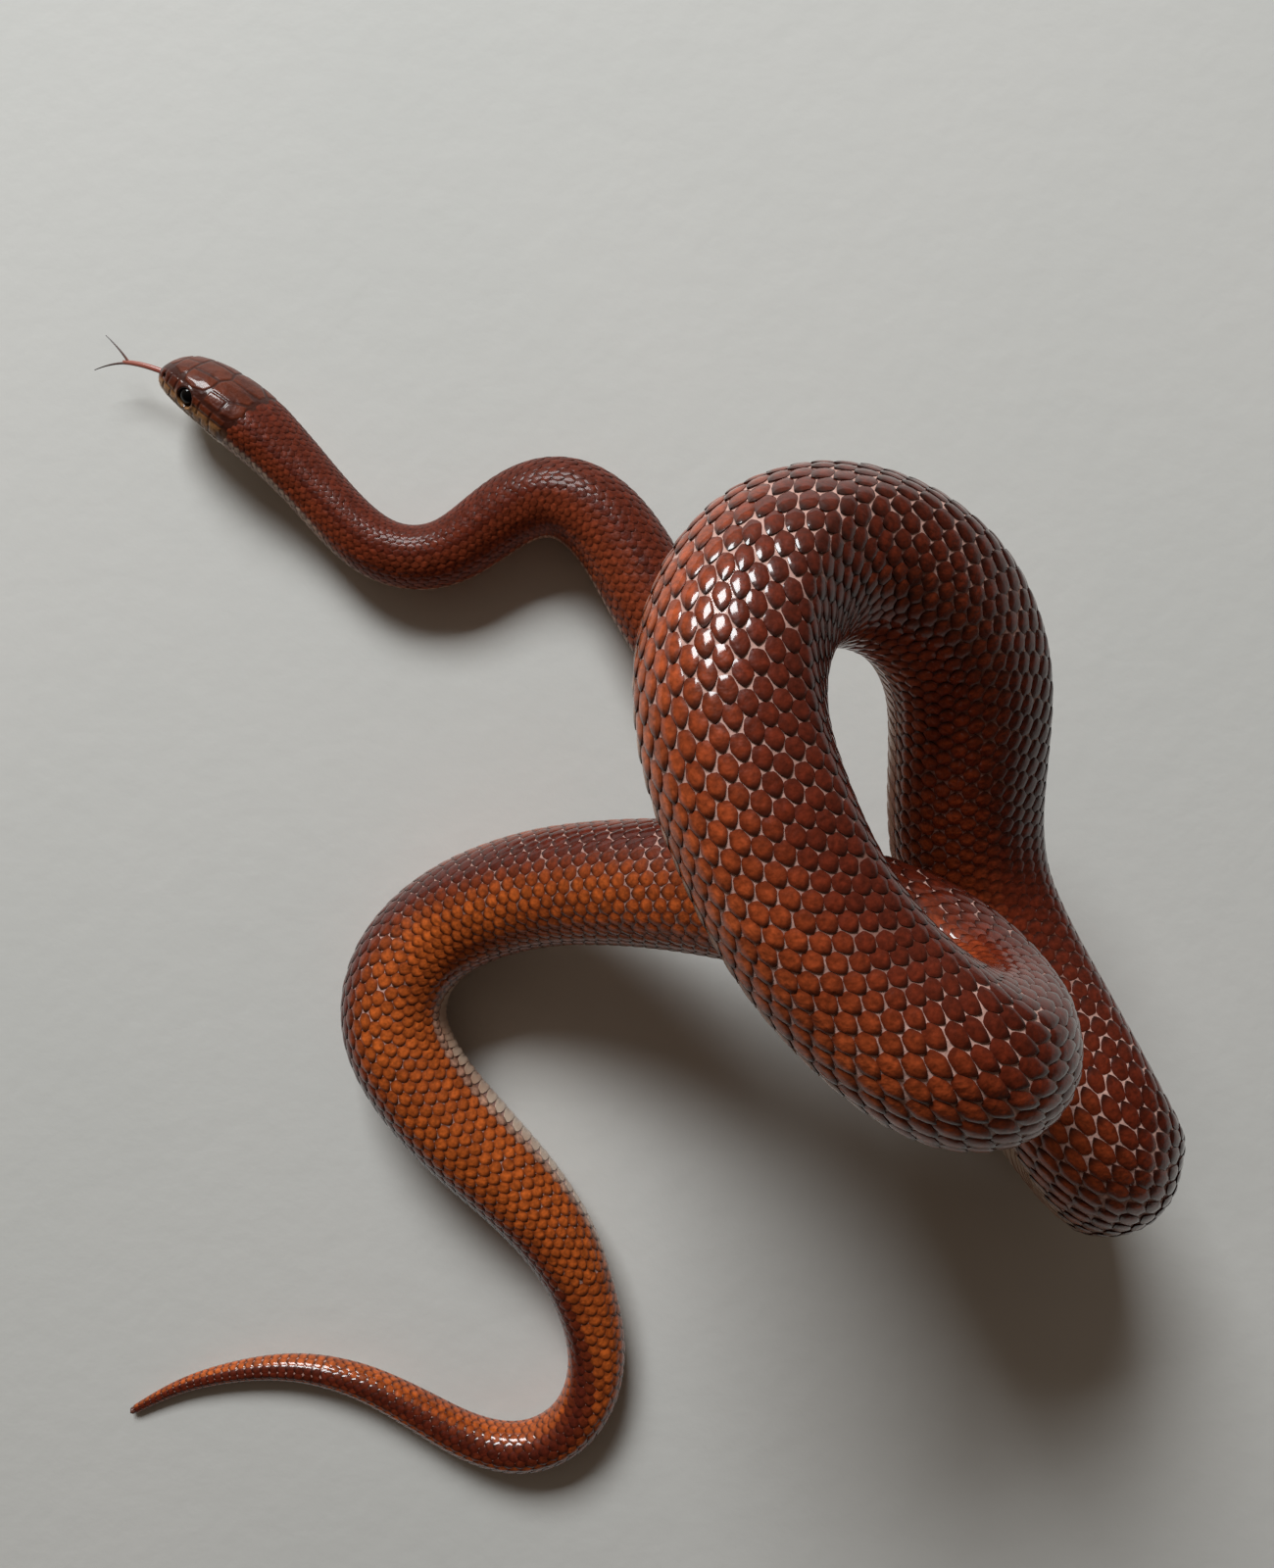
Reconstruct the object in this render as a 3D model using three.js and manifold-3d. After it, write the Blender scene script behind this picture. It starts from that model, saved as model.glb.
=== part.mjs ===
import * as THREE from "three";
import { mergeVertices } from "three/addons/utils/BufferGeometryUtils.js";
import Module from "manifold-3d";

const solidKernel = await Module();
solidKernel.setup();
const { Manifold, Mesh: SolidMesh } = solidKernel;

// A corn snake of about 0.9 m, life size, in millimetres, +Z up. It lies on the floor with two
// thick loops of its middle piled over one another, its head stretched out and its tail laid down.

// How deep a resting length of body settles, which leaves the small flats it lies on.
const settle = 0.25;
// Clear gap between neighbouring pieces of the body.
const gap = 0.3;

// Places that the middle of the body passes, from the snout to the tip of the tail: x, y, half the
// body's width there, and the height of its middle where it is held up. Others rest on the floor.
const headAndNeck = [
  [-98.2, 88.2, 4.5, 8.9],
  [-88.4, 81.4, 6.4, 9.3],
  [-78.0, 73.0, 6.8, 8.9],
  [-68.5, 63.0, 6.4, 7.6],
  [-61.5, 55.0, 6.6, 7.2],
  [-54.0, 49.0, 6.8, 7.0],
];
const frontBends = [
  [-46.5, 47.5, 6.9],
  [-39.0, 49.0, 7.2],
  [-31.5, 54.5, 7.6],
  [-23.5, 59.5, 8.2],
  [-16.0, 60.5, 8.9],
  [-9.0, 57.0, 9.3],
  [-2.5, 49.0, 9.6],
  [3.0, 39.0, 9.9],
];
const underTheCoils = [
  [17.0, 18.0, 10.4],
  [30.0, -4.0, 10.9],
  [43.0, -23.0, 11.4],
  [57.0, -37.0, 12.0],
  [70.0, -46.5, 12.5],
  [79.0, -59.0, 12.9],
];
const farTurn = [
  [84.2, -67.4, 13.4, 17.8],
  [86.6, -71.2, 13.8, 29.8],
  [84.2, -67.4, 14.1, 41.5],
];
const farCoil = [
  [79.0, -58.5, 14.4, 46.0],
  [73.5, -46.5, 14.3, 43.0],
  [67.0, -32.0, 14.1, 38.5],
  [61.5, -18.5, 13.9, 38.0],
  [58.5, -6.0, 13.8, 42.5],
  [57.0, 7.0, 13.7, 50.0],
  [55.0, 18.0, 13.8, 57.0],
  [49.5, 27.0, 13.9, 64.0],
  [41.0, 33.0, 14.0, 71.0],
];
const nearCoil = [
  [30.0, 35.0, 14.0, 77.0],
  [20.0, 31.0, 14.0, 83.0],
  [14.0, 21.0, 13.9, 88.0],
  [13.0, 8.0, 13.7, 91.0],
  [16.5, -4.0, 13.6, 92.0],
  [23.0, -18.0, 13.6, 92.0],
  [32.0, -29.5, 13.5, 92.0],
  [39.0, -35.0, 13.4, 92.0],
];
const nearTurn = [
  [45.5, -38.5, 13.3, 90.0],
  [51.0, -39.5, 13.2, 84.5],
  [54.0, -38.8, 13.1, 76.0],
  [54.3, -36.2, 13.0, 68.0],
  [51.5, -32.0, 12.9, 62.5],
];
const downToTheFloor = [
  [46.0, -28.0, 12.9, 60.0],
  [37.0, -24.0, 12.8, 57.0],
  [26.0, -21.0, 12.7, 50.5],
  [12.0, -19.0, 12.5, 40.5],
  [-5.0, -19.0, 12.2, 29.0],
  [-22.0, -21.5, 11.9, 19.0],
];
const rearBends = [
  [-39.5, -29.0, 11.6],
  [-48.5, -38.5, 11.3],
  [-50.5, -50.0, 11.2],
  [-44.5, -62.5, 11.0],
  [-35.0, -73.5, 10.6],
  [-24.5, -84.5, 9.6],
  [-16.0, -96.0, 8.3],
];
const tail = [
  [-11.0, -108.0, 6.9],
  [-8.5, -119.0, 6.2],
  [-9.5, -129.5, 5.9],
  [-15.0, -138.0, 5.5],
  [-24.5, -142.0, 5.1],
  [-35.5, -140.0, 4.6],
  [-47.0, -134.0, 4.1],
  [-60.0, -128.0, 3.5],
  [-74.0, -125.5, 2.9],
  [-87.5, -127.0, 2.2],
  [-99.5, -130.5, 1.6],
  [-109.5, -136.0, 1.0],
];
const stretches = {
  headAndNeck,
  frontBends,
  underTheCoils,
  farTurn,
  farCoil,
  nearCoil,
  nearTurn,
  downToTheFloor,
  rearBends,
  tail,
};

// Which way the snake's back faces at the start of each stretch or part way along it. The body
// rolls slowly between these, because the loops grip with the flank and belly turned inwards.
const backs = [
  ["headAndNeck", 0, [0.44, 0.62, 0.65]],
  ["headAndNeck", 3, [0.4, 0.5, 0.76]],
  ["frontBends", 0, [0, 0.62, 0.79]],
  ["frontBends", 4, [0.1, 0.77, 0.63]],
  ["frontBends", 7, [0.7, 0.4, 0.58]],
  ["underTheCoils", 2, [0.55, 0.35, 0.75]],
  ["farTurn", 1, [0.9, 0.4, 0.15]],
  ["farCoil", 0, [0.62, 0.35, 0.7]],
  ["farCoil", 2, [0.7, 0.3, 0.65]],
  ["farCoil", 5, [0.82, 0.05, 0.57]],
  ["farCoil", 7, [0.55, 0.5, 0.67]],
  ["nearCoil", 0, [0.0, 0.5, 0.86]],
  ["nearCoil", 1, [0.25, 0.1, 0.96]],
  ["nearCoil", 2, [0.55, 0.0, 0.83]],
  ["nearCoil", 3, [0.72, 0.02, 0.69]],
  ["nearCoil", 6, [0.7, 0.5, 0.5]],
  ["nearTurn", 0, [0.75, 0.35, 0.55]],
  ["nearTurn", 2, [0.68, 0.68, 0.2]],
  ["downToTheFloor", 0, [0.6, 0.75, 0.27]],
  ["downToTheFloor", 3, [0.1, 0.75, 0.65]],
  ["rearBends", 0, [-0.75, 0.5, 0.42]],
  ["rearBends", 2, [-0.93, 0.12, 0.34]],
  ["rearBends", 4, [-0.8, -0.5, 0.33]],
  ["tail", 0, [-0.75, -0.2, 0.63]],
  ["tail", 4, [0, 0.1, 1]],
  ["tail", 11, [0, 0, 1]],
];

// Head: its length to the nape, and at distances back from the snout half its width, its height
// above and depth below the middle of the section, and how far that middle drops at the snout.
const headLength = 27;
const headProfile = [
  [0.0, 2.1, 1.1, 1.1, 1.3],
  [0.5, 3.6, 2.1, 1.9, 1.2],
  [1.8, 5.0, 3.4, 2.8, 1.0],
  [4.2, 6.1, 4.7, 3.7, 0.75],
  [7.5, 6.9, 5.5, 4.4, 0.5],
  [11.0, 7.5, 5.9, 4.9, 0.25],
  [16.0, 8.0, 6.0, 5.3, 0.1],
  [21.0, 8.2, 6.0, 5.7, 0],
  [24.5, 8.0, 6.0, 5.85, 0],
  [27.0, 7.8, 6.0, 5.9, 0],
  [31.0, 7.7, 6.0, 5.9, 0],
];
const headSides = 32;
// How much flatter than round the neck starts, and where it has become round.
const napeFlatness = 0.133;
const neckRoundAt = 50;
// Mouth line: its level at the snout and its fall towards the corner, and where the jaw ends.
const mouthLevel = -1.7;
const mouthFall = 0.02;
const jawEnd = 20.5;
const eye = { radius: 1.95, back: 10.0, out: 5.65, up: 1.2 };
const nostril = { radius: 0.55, back: 2.7, out: 5.5, up: 0.6 };
const plateRise = 0.32;
const plateSeam = 0.26;

const tongue = {
  halfWidth: 0.75,
  halfHeight: 0.42,
  tineBase: 0.42,
  tineTip: 0.26,
  fork: [-109.0, 89.5, 6.4],
  tips: [
    [-112.5, 95.0, 6.9],
    [-115.3, 88.0, 6.0],
  ],
};

// Body skin: sides of its section, how much shallower the belly is than a circle, and the belly
// scutes, whose free rear edges stand out by a step. The solids carry every second scute.
const bodySides = 16;
const bellyFlatness = 0.07;
const scutePitch = 8.4;
const scuteStep = 0.4;
const bellyEdge = Math.cos(THREE.MathUtils.degToRad(48));

// Distances from the snout at which the body is divided, and the name of each length behind.
const lengths = [
  ["neck", headLength],
  ["body_01", 62],
  ["body_02", 98],
  ["body_03", 132],
  ["body_04", 172],
  ["body_05", 216],
  ["body_06", 258],
  ["body_07", 318],
  ["body_08", 354],
  ["body_09", 392],
  ["body_10", 432],
  ["body_11", 474],
  ["body_12", 522],
  ["body_13", 582],
  ["body_14", 626],
  ["body_15", 668],
  ["body_16", 708],
  ["tail_base", 748],
  ["tail_middle", 796],
  ["tail_tip", 846],
];

const colours = {
  back: 0x7a2a17,
  flank: 0x9a3f1e,
  jaw: 0xd8b491,
  eye: 0x0a0706,
  tongue: 0xc0503f,
};

// Even stations along the body: the places joined by a smooth curve, divided evenly and relaxed so
// that the bends run into one another as a living body's do.
const stationStep = 1.5;
const relaxPasses = 16;

function layStations() {
  const places = [];
  const startOf = {};
  for (const [name, stretch] of Object.entries(stretches)) {
    startOf[name] = places.length;
    for (const [x, y, half, height] of stretch) {
      places.push({ at: new THREE.Vector3(x, y, height ?? half - settle), half });
    }
  }
  const curve = new THREE.CatmullRomCurve3(
    places.map((place) => place.at),
    false,
    "centripetal",
  );
  const spans = places.length - 1;
  const perSpan = 12;
  const fine = [];
  for (let i = 0; i <= spans * perSpan; i++) {
    const place = i / perSpan;
    const k = Math.min(Math.floor(place), spans - 1);
    const half = THREE.MathUtils.lerp(places[k].half, places[k + 1].half, place - k);
    fine.push({ at: curve.getPoint(place / spans), half, place });
  }
  let reach = 0;
  fine.forEach((point, i) => {
    if (i > 0) reach += point.at.distanceTo(fine[i - 1].at);
    point.reach = reach;
  });
  const count = Math.round(reach / stationStep);
  const stations = [];
  let next = 1;
  for (let i = 0; i <= count; i++) {
    const wanted = (reach * i) / count;
    while (next < fine.length - 1 && fine[next].reach < wanted) next++;
    const a = fine[next - 1];
    const b = fine[next];
    const t = (wanted - a.reach) / (b.reach - a.reach);
    stations.push({
      at: a.at.clone().lerp(b.at, t),
      half: THREE.MathUtils.lerp(a.half, b.half, t),
      place: THREE.MathUtils.lerp(a.place, b.place, t),
    });
  }
  for (let pass = 0; pass < relaxPasses; pass++) {
    const before = stations.map((station) => station.at.clone());
    const halves = stations.map((station) => station.half);
    for (let i = 1; i < count; i++) {
      stations[i].at
        .copy(before[i])
        .multiplyScalar(2)
        .add(before[i - 1])
        .add(before[i + 1])
        .multiplyScalar(0.25);
      stations[i].half = (halves[i - 1] + 2 * halves[i] + halves[i + 1]) / 4;
    }
  }
  const rolls = backs.map(([name, step, back]) => ({
    place: startOf[name] + step,
    back: new THREE.Vector3(...back).normalize(),
  }));
  let along = 0;
  stations.forEach((station, i) => {
    if (i > 0) along += station.at.distanceTo(stations[i - 1].at);
    station.along = along;
    const ahead = stations[Math.min(i + 1, count)].at;
    const behind = stations[Math.max(i - 1, 0)].at;
    station.tailward = ahead.clone().sub(behind).normalize();
    const k = Math.max(
      0,
      rolls.findLastIndex((roll, j) => j < rolls.length - 1 && roll.place <= station.place),
    );
    const t = (station.place - rolls[k].place) / (rolls[k + 1].place - rolls[k].place);
    station.back = rolls[k].back.clone().lerp(rolls[k + 1].back, THREE.MathUtils.clamp(t, 0, 1));
  });
  for (let pass = 0; pass < relaxPasses; pass++) {
    const before = stations.map((station) => station.back.clone());
    for (let i = 1; i < count; i++) {
      stations[i].back.copy(before[i - 1]).add(before[i]).add(before[i + 1]).normalize();
    }
  }
  for (const station of stations) {
    const lean = station.back.dot(station.tailward);
    station.back.addScaledVector(station.tailward, -lean).normalize();
    station.right = station.back.clone().cross(station.tailward).normalize();
  }
  return stations;
}

const stations = layStations();
const bodyLength = stations.at(-1).along;

function stationAt(distance) {
  const wanted = THREE.MathUtils.clamp(distance, 0, bodyLength);
  let k = stations.findIndex((station) => station.along >= wanted);
  k = Math.max(k, 1);
  const a = stations[k - 1];
  const b = stations[k];
  const t = (wanted - a.along) / (b.along - a.along);
  return {
    at: a.at.clone().lerp(b.at, t),
    half: THREE.MathUtils.lerp(a.half, b.half, t),
    tailward: a.tailward.clone().lerp(b.tailward, t).normalize(),
    back: a.back.clone().lerp(b.back, t).normalize(),
    right: a.right.clone().lerp(b.right, t).normalize(),
  };
}

// One point of the body's surface: angle 0 is the middle of the back, a quarter turn the right side.
function skinPoint(distance, angle, scute) {
  const { at, half, back, right } = stationAt(distance);
  const up = Math.cos(angle);
  const flat = napeFlatness * (1 - THREE.MathUtils.smoothstep(distance, headLength, neckRoundAt));
  const belly = THREE.MathUtils.smoothstep(-up, 0.5, 1);
  let reach = half * (1 - bellyFlatness * belly);
  if (-up > bellyEdge) reach += Math.min(scuteStep, half * 0.06) * scute;
  const point = at
    .addScaledVector(back, reach * up * (1 - flat))
    .addScaledVector(right, reach * Math.sin(angle) * (1 + flat));
  point.z = Math.max(point.z, 0);
  return point;
}

// A closed skin through rings of points, each ring run the same way round, with flat or pointed ends.
function skinOver(rings) {
  const sides = rings[0].length;
  const points = rings.flat();
  const faces = [];
  for (let i = 0; i < rings.length - 1; i++) {
    for (let j = 0; j < sides; j++) {
      const a = i * sides + j;
      const b = i * sides + ((j + 1) % sides);
      const c = a + sides;
      const d = b + sides;
      faces.push(a, c, b, b, c, d);
    }
  }
  for (const [start, flip] of [
    [0, false],
    [(rings.length - 1) * sides, true],
  ]) {
    const middle = points.length;
    const sum = new THREE.Vector3();
    for (let j = 0; j < sides; j++) sum.add(points[start + j]);
    points.push(sum.divideScalar(sides));
    for (let j = 0; j < sides; j++) {
      const a = start + j;
      const b = start + ((j + 1) % sides);
      if (flip) faces.push(b, a, middle);
      else faces.push(a, b, middle);
    }
  }
  return { points, faces };
}

function geometryOf({ points, faces }) {
  const geometry = new THREE.BufferGeometry().setFromPoints(points);
  geometry.setIndex(faces);
  const flat = geometry.toNonIndexed();
  flat.computeVertexNormals();
  return flat;
}

function solidOf({ points, faces }) {
  const geometry = new THREE.BufferGeometry().setFromPoints(points);
  geometry.setIndex(faces);
  return solidOfGeometry(geometry);
}

function solidOfGeometry(geometry) {
  geometry.deleteAttribute("normal");
  geometry.deleteAttribute("uv");
  const merged = mergeVertices(geometry, 1e-5);
  return new Manifold(
    new SolidMesh({
      numProp: 3,
      vertProperties: merged.attributes.position.array,
      triVerts: new Uint32Array(merged.index.array),
    }),
  );
}

function geometryOfSolid(solid) {
  const largest = solid.decompose().sort((a, b) => b.volume() - a.volume())[0];
  const mesh = largest.getMesh();
  const geometry = new THREE.BufferGeometry();
  geometry.setAttribute("position", new THREE.BufferAttribute(mesh.vertProperties, 3));
  geometry.setIndex(new THREE.BufferAttribute(mesh.triVerts, 1));
  const flat = geometry.toNonIndexed();
  flat.computeVertexNormals();
  return flat;
}

const snake = new THREE.Group();
snake.name = "corn_snake";

function addNode(name, geometry, colour, roughness = 0.45) {
  const material = new THREE.MeshStandardMaterial({ color: colour, roughness });
  const mesh = new THREE.Mesh(geometry, material);
  mesh.name = name;
  snake.add(mesh);
}

// A length of body between two distances. Three rings to a scute: low at its root, half way, and
// raised at its free rear edge.
function bodyLengthBetween(start, end) {
  const cuts = [[start, ((start / scutePitch) % 1 + 1) % 1]];
  const steps = [0.06, 0.5, 0.94];
  for (let scute = Math.floor(start / scutePitch); scute * scutePitch < end; scute++) {
    for (const step of steps) {
      const distance = (scute + step) * scutePitch;
      const clear = 0.9;
      if (distance > start + clear && distance < end - clear) cuts.push([distance, step]);
    }
  }
  cuts.push([end, ((end / scutePitch) % 1 + 1) % 1]);
  return skinOver(
    cuts.map(([distance, rise]) => {
      const ring = [];
      for (let j = 0; j < bodySides; j++) {
        ring.push(skinPoint(distance, (2 * Math.PI * j) / bodySides, rise));
      }
      return ring;
    }),
  );
}

lengths.forEach(([name, start], i) => {
  const last = i === lengths.length - 1;
  const end = last ? bodyLength : lengths[i + 1][1] - gap / 2;
  const skin = bodyLengthBetween(start + gap / 2, end);
  addNode(name, geometryOf(skin), i % 2 ? colours.back : colours.flank);
});

// Head frame: x runs back from the snout, y to the snake's right and z up through the crown.
const snout = stationAt(0);
const nape = stationAt(headLength);
const headBackward = nape.at.clone().sub(snout.at).normalize();
const headUp = snout.back.clone().addScaledVector(headBackward, -snout.back.dot(headBackward));
headUp.normalize();
const headRight = headUp.clone().cross(headBackward).normalize();
const headFrame = new THREE.Matrix4()
  .makeBasis(headBackward, headRight, headUp)
  .setPosition(nape.at.clone().addScaledVector(headBackward, -headLength));

function headRing(distance, grow) {
  let k = headProfile.findIndex((row) => row[0] >= distance);
  k = Math.max(k, 1);
  const [d0, ...low] = headProfile[k - 1];
  const [d1, ...high] = headProfile[k];
  const t = (distance - d0) / (d1 - d0);
  const [width, top, bottom, drop] = low.map(
    (value, i) => THREE.MathUtils.lerp(value, high[i], t) + (i < 3 ? grow : 0),
  );
  const ring = [];
  for (let j = 0; j < headSides; j++) {
    const angle = (2 * Math.PI * j) / headSides;
    const up = Math.cos(angle);
    const side = Math.sin(angle);
    const power = 2 / (up > 0 ? 2.5 : 2.2);
    const height = Math.sign(up) * Math.abs(up) ** power * (up > 0 ? top : bottom);
    const across = Math.sign(side) * Math.abs(side) ** power * width;
    ring.push(new THREE.Vector3(distance - (distance < 1 ? grow : 0), across, height - drop));
  }
  return ring;
}

function headForm(grow) {
  const distances = [0, 0.5, 1.1, 1.8, 3, 4.2, 5.8, 7.5, 9.2, 11, 13.5, 16, 18.5, 21, 24.5, 31];
  return solidOf(skinOver(distances.map((distance) => headRing(distance, grow))));
}

function mouthAt(distance) {
  return mouthLevel - mouthFall * distance;
}

// A prism over a shape drawn in plan (back, right), reaching from one height to another.
function planPrism(outline, low, high) {
  return solidOfGeometry(extruded(outline, high - low).translate(0, 0, low));
}

// A prism across the head over a shape drawn from the side (back, up), between two widths.
function sidePrism(outline, from, to) {
  return solidOfGeometry(extruded(outline, to - from).rotateX(Math.PI / 2).translate(0, to, 0));
}

function extruded(outline, depth) {
  const shape = new THREE.Shape(outline.map(([x, y]) => new THREE.Vector2(x, y)));
  return new THREE.ExtrudeGeometry(shape, { depth, bevelEnabled: false });
}

function ball(radius, place, around) {
  const sphere = new THREE.SphereGeometry(radius, around, Math.round(around * 0.6));
  return solidOfGeometry(sphere.rotateX(Math.PI / 2).translate(...place));
}

function mirrored(outline) {
  return outline.map(([back, right]) => [back, -right]);
}

// Crown shields of a colubrid snake in plan, right half, each pair drawn once.
const seam = plateSeam / 2;
const pairedShields = [
  [[1.0, seam], [3.2, seam], [3.5, 2.2], [2.7, 3.1], [1.3, 2.3]],
  [[3.5, seam], [6.9, seam], [7.1, 2.7], [6.3, 4.4], [3.8, 3.2]],
  [[7.4, 2.8], [8.1, 5.0], [10.4, 5.9], [12.8, 5.5], [13.3, 2.7]],
  [[14.3, seam], [21.2, seam], [21.0, 3.0], [18.2, 5.0], [13.9, 5.1], [13.6, 2.3]],
  [[14.0, 5.5], [17.9, 5.4], [17.7, 7.5], [14.0, 7.2]],
  [[18.3, 5.4], [21.6, 3.7], [22.6, 6.3], [18.2, 7.6]],
];
const frontalShield = [[7.4, -2.4], [13.1, -2.3], [14.1, 0], [13.1, 2.3], [7.4, 2.4]];

function labialPlates(count, first, last, low, high) {
  const pitch = (last - first) / count;
  const plates = [];
  for (let i = 0; i < count; i++) {
    const start = first + pitch * i + seam;
    const end = first + pitch * (i + 1) - seam;
    plates.push([
      [start, mouthAt(start) + low],
      [end, mouthAt(end) + low],
      [end, mouthAt(end) + high],
      [start, mouthAt(start) + high],
    ]);
  }
  return plates;
}

function raisedPlates(prisms) {
  return headForm(plateRise).intersect(Manifold.union(prisms));
}

const crownPrisms = [planPrism(frontalShield, 1.5, 9)];
for (const shield of pairedShields) {
  crownPrisms.push(planPrism(shield, 1.5, 9));
  crownPrisms.push(planPrism(mirrored(shield).reverse(), 1.5, 9));
}
const upperLipPrisms = [];
for (const plate of labialPlates(8, 1.5, 19.4, 0.3, 2.2)) {
  upperLipPrisms.push(sidePrism(plate, 2.6, 10));
  upperLipPrisms.push(sidePrism(plate, -10, -2.6));
}
const lowerLipPrisms = [];
for (const plate of labialPlates(9, 1.4, 19.8, -1.5, -0.3)) {
  lowerLipPrisms.push(sidePrism(plate, 2.2, 10));
  lowerLipPrisms.push(sidePrism(plate, -10, -2.2));
}
const rostralPrism = sidePrism(
  [[-2, mouthAt(0) + 0.3], [1.3, mouthAt(0) + 0.3], [1.3, 0.7], [-2, 0.7]],
  -2.0,
  2.0,
);

// The split between upper head and lower jaw: everything under the mouth line, ahead of the jaw end.
function jawSpace(clear) {
  const end = jawEnd + clear;
  return sidePrism(
    [[-3, -12], [end, -12], [end, mouthAt(end) + clear / 2], [-3, mouthAt(-3) + clear / 2]],
    -12,
    12,
  );
}

function bothSides(make) {
  return [1, -1].map(make);
}

const eyeSolids = bothSides((side) =>
  ball(eye.radius, [eye.back, side * eye.out, eye.up], 16),
);
const sockets = bothSides((side) =>
  ball(eye.radius + gap, [eye.back, side * eye.out, eye.up], 16),
);
const nostrils = bothSides((side) =>
  ball(nostril.radius, [nostril.back, side * nostril.out, nostril.up], 10),
);

// Tongue: a flat stem out of the notch under the snout, forked into two fine tines.
function rod(from, to, fromSize, toSize, sides = 8) {
  const run = to.clone().sub(from).normalize();
  const across = new THREE.Vector3(0, 0, 1).cross(run).normalize();
  const up = run.clone().cross(across).normalize();
  const rings = [
    [from, fromSize],
    [to, toSize],
  ].map(([middle, [wide, high]]) => {
    const ring = [];
    for (let j = 0; j < sides; j++) {
      const angle = (2 * Math.PI * j) / sides;
      ring.push(
        middle
          .clone()
          .addScaledVector(up, high * Math.cos(angle))
          .addScaledVector(across, wide * Math.sin(angle)),
      );
    }
    return ring;
  });
  return solidOf(skinOver(rings));
}

function tongueSolid(grow) {
  const root = new THREE.Vector3(2.6, 0, mouthAt(2.6) + 0.1).applyMatrix4(headFrame);
  const lip = new THREE.Vector3(-0.3, 0, mouthAt(0) + 0.1).applyMatrix4(headFrame);
  const fork = new THREE.Vector3(...tongue.fork);
  const stem = [tongue.halfWidth + grow, tongue.halfHeight + grow];
  const narrow = [tongue.halfWidth * 0.9 + grow, tongue.halfHeight + grow];
  const overlap = lip.clone().sub(root).setLength(0.3);
  const pieces = [
    rod(root.clone().addScaledVector(overlap, -grow), lip.clone().add(overlap), stem, stem),
    rod(lip.clone().sub(overlap), fork, stem, narrow),
  ];
  const back = lip.clone().sub(fork).setLength(0.8);
  for (const tip of tongue.tips) {
    const end = new THREE.Vector3(...tip);
    const base = [tongue.tineBase + grow, tongue.tineBase + grow];
    const point = [tongue.tineTip + grow, tongue.tineTip + grow];
    pieces.push(rod(fork.clone().add(back), end, base, point));
  }
  return Manifold.union(pieces);
}

const toWorld = [...headFrame.elements];
const tongueSpace = tongueSolid(gap);
const napeFace = nape.tailward.clone().negate();
const upperHead = headForm(0)
  .add(raisedPlates([...crownPrisms, ...upperLipPrisms, rostralPrism]))
  .subtract(jawSpace(gap))
  .subtract(Manifold.union([...sockets, ...nostrils]))
  .transform(toWorld)
  .trimByPlane(napeFace.toArray(), napeFace.dot(nape.at) + gap / 2)
  .subtract(tongueSpace);
const lowerJaw = headForm(-0.12)
  .add(headForm(plateRise - 0.2).intersect(Manifold.union(lowerLipPrisms)))
  .intersect(jawSpace(-gap))
  .transform(toWorld)
  .subtract(tongueSpace);

addNode("head_top", geometryOfSolid(upperHead), colours.back, 0.35);
addNode("lower_jaw", geometryOfSolid(lowerJaw), colours.jaw, 0.4);
addNode("eye_right", geometryOfSolid(eyeSolids[0].transform(toWorld)), colours.eye, 0.08);
addNode("eye_left", geometryOfSolid(eyeSolids[1].transform(toWorld)), colours.eye, 0.08);
addNode("tongue", geometryOfSolid(tongueSolid(0)), colours.tongue, 0.4);

// The footprint's centre on the floor is the origin.
const footprint = new THREE.Box3().setFromObject(snake);
const centre = footprint.getCenter(new THREE.Vector3());
snake.position.set(-centre.x, -centre.y, -footprint.min.z);

export default snake;
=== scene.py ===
import math

import bpy
import numpy as np
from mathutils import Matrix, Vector


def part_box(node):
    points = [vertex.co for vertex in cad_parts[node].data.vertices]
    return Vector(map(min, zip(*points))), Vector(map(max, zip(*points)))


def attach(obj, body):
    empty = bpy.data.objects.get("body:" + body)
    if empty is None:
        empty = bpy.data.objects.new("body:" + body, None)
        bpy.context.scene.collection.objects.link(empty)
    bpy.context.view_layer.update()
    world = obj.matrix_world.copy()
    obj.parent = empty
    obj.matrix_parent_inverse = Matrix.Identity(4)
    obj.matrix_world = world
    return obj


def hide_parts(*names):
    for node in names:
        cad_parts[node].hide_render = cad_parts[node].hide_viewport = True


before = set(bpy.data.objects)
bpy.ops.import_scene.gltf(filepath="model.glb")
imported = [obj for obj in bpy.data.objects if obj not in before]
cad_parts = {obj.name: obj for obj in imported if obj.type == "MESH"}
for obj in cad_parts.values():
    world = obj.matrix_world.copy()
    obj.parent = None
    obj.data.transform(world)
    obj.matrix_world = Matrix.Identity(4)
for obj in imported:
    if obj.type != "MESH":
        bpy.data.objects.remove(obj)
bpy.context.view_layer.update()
mm = 0.001
rng = np.random.default_rng(27)


def smoothStep(value, low, high):
    t = np.clip((value - low) / (high - low), 0, 1)
    return t * t * (3 - 2 * t)


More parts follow.
